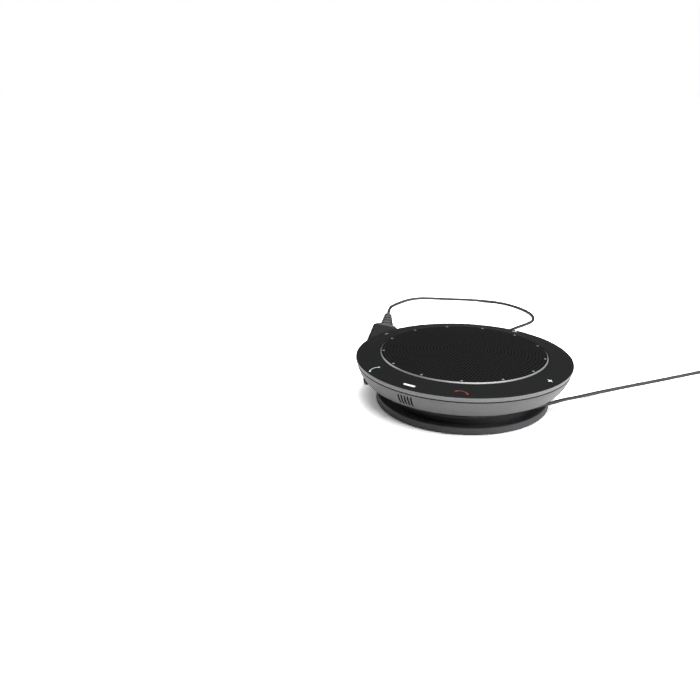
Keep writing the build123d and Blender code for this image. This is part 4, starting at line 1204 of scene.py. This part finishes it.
class SPEAKERPHONE_OT_stage(bpy.types.Operator):
    """Set the pale floor, the even sky, the lamps and the camera"""

    bl_idname = "speakerphone.stage"
    bl_label = "Stage"

    def execute(self, context):
        values = context.scene.speakerphone_stage
        self.floor()
        self.sky(context, values)
        for name, (place, side, power) in LAMPS.items():
            self.lamp(name, place, side, getattr(values, power))
        camera = add_object("camera", bpy.data.cameras.new("camera"))
        camera.data.sensor_width = 36.0
        camera.data.lens = values.focal_length
        camera.data.clip_start = 0.01
        camera.data.clip_end = 20.0
        camera.location = values.camera_place
        camera.rotation_euler = values.camera_turn
        context.scene.camera = camera
        context.scene.view_settings.view_transform = "Standard"
        return {"FINISHED"}

    def floor(self):
        """Pale floor that keeps the shadow near the object and is white further out."""
        pale, camera_gain = (0.92, 0.92, 0.92), 2.1
        white_from, white_to = 0.2, 0.7
        form = bmesh.new()
        bmesh.ops.create_grid(form, x_segments=2, y_segments=2, size=6.0)
        floor = add_object("floor", plain_mesh(form, "floor"))
        finish, tree, shader = start_finish("floor_white", pale, 0.9, 0.0, 0.0)
        reach = vector_calc(tree, "LENGTH", own_place(tree))
        far = add_node(
            tree,
            "ShaderNodeMapRange",
            {"Value": reach, "From Min": white_from, "From Max": white_to},
            interpolation_type="SMOOTHSTEP",
        ).outputs[0]
        gained = (camera_gain, camera_gain, camera_gain, 1.0)
        lit = add_node(tree, "ShaderNodeBsdfDiffuse", {"Color": gained})
        glow = add_node(tree, "ShaderNodeEmission", {"Color": WHITE, "Strength": far})
        both = {0: lit.outputs[0], 1: glow.outputs[0]}
        bright = add_node(tree, "ShaderNodeAddShader", both)
        seen = add_node(tree, "ShaderNodeLightPath").outputs["Is Camera Ray"]
        surfaces = {0: seen, 1: shader.outputs[0], 2: bright.outputs[0]}
        mixed = add_node(tree, "ShaderNodeMixShader", surfaces).outputs[0]
        tree.links.new(mixed, tree.nodes["Material Output"].inputs["Surface"])
        floor.data.materials.append(finish)

    def sky(self, context, values):
        """Even light from all round, and white where the camera sees it."""
        world = bpy.data.worlds.new("sky")
        world.use_nodes = True
        tree = world.node_tree
        background = tree.nodes["Background"]
        background.inputs["Color"].default_value = WHITE
        rays = add_node(tree, "ShaderNodeLightPath").outputs
        seen = calc(tree, "MAXIMUM", rays["Is Camera Ray"], rays["Is Transmission Ray"])
        strength = between(tree, seen, values.sky_strength, 1.0)
        tree.links.new(strength, background.inputs["Strength"])
        context.scene.world = world

    def lamp(self, name, place, side, power):
        """Soft square lamp that faces the object."""
        data = bpy.data.lights.new(name, "AREA")
        data.shape = "SQUARE"
        data.size = side
        data.energy = power
        lamp = add_object(name, data)
        lamp.location = place
        away = LAMP_AIM - Vector(place)
        lamp.rotation_euler = away.to_track_quat("-Z", "Y").to_euler()


PROPERTY_GROUPS = {
    "speakerphone_stage": SpeakerphoneStage,
    "speakerphone_case": SpeakerphoneCase,
    "speakerphone_grille": SpeakerphoneGrille,
    "speakerphone_suspension": SpeakerphoneSuspension,
    "speakerphone_lead": SpeakerphoneLead,
}
OPERATORS = (
    SPEAKERPHONE_OT_finishes,
    SPEAKERPHONE_OT_lead,
    SPEAKERPHONE_OT_grille,
    SPEAKERPHONE_OT_suspension,
    SPEAKERPHONE_OT_touch_signs,
    SPEAKERPHONE_OT_stage,
)


class SPEAKERPHONE_PT_panel(bpy.types.Panel):
    """Sizes and colours of the speakerphone, and a button for each piece"""

    bl_idname = "SPEAKERPHONE_PT_panel"
    bl_label = "Speakerphone"
    bl_space_type = "VIEW_3D"
    bl_region_type = "UI"
    bl_category = "Speakerphone"

    def draw(self, context):
        for name, group in PROPERTY_GROUPS.items():
            box = self.layout.box()
            for key in group.__annotations__:
                box.prop(getattr(context.scene, name), key)
        for operator in OPERATORS:
            self.layout.operator(operator.bl_idname)


def register():
    """Registers the classes and gives each scene its values."""
    for name, group in PROPERTY_GROUPS.items():
        bpy.utils.register_class(group)
        setattr(bpy.types.Scene, name, bpy.props.PointerProperty(type=group))
    for operator in OPERATORS:
        bpy.utils.register_class(operator)
    bpy.utils.register_class(SPEAKERPHONE_PT_panel)


def unregister():
    """Takes everything back that register added."""
    bpy.utils.unregister_class(SPEAKERPHONE_PT_panel)
    for operator in reversed(OPERATORS):
        bpy.utils.unregister_class(operator)
    for name, group in reversed(PROPERTY_GROUPS.items()):
        delattr(bpy.types.Scene, name)
        bpy.utils.unregister_class(group)


def main():
    """Builds everything in order."""
    register()
    for operator in OPERATORS:
        folder, name = operator.bl_idname.split(".")
        getattr(getattr(bpy.ops, folder), name)()


if __name__ == "__main__":
    main()
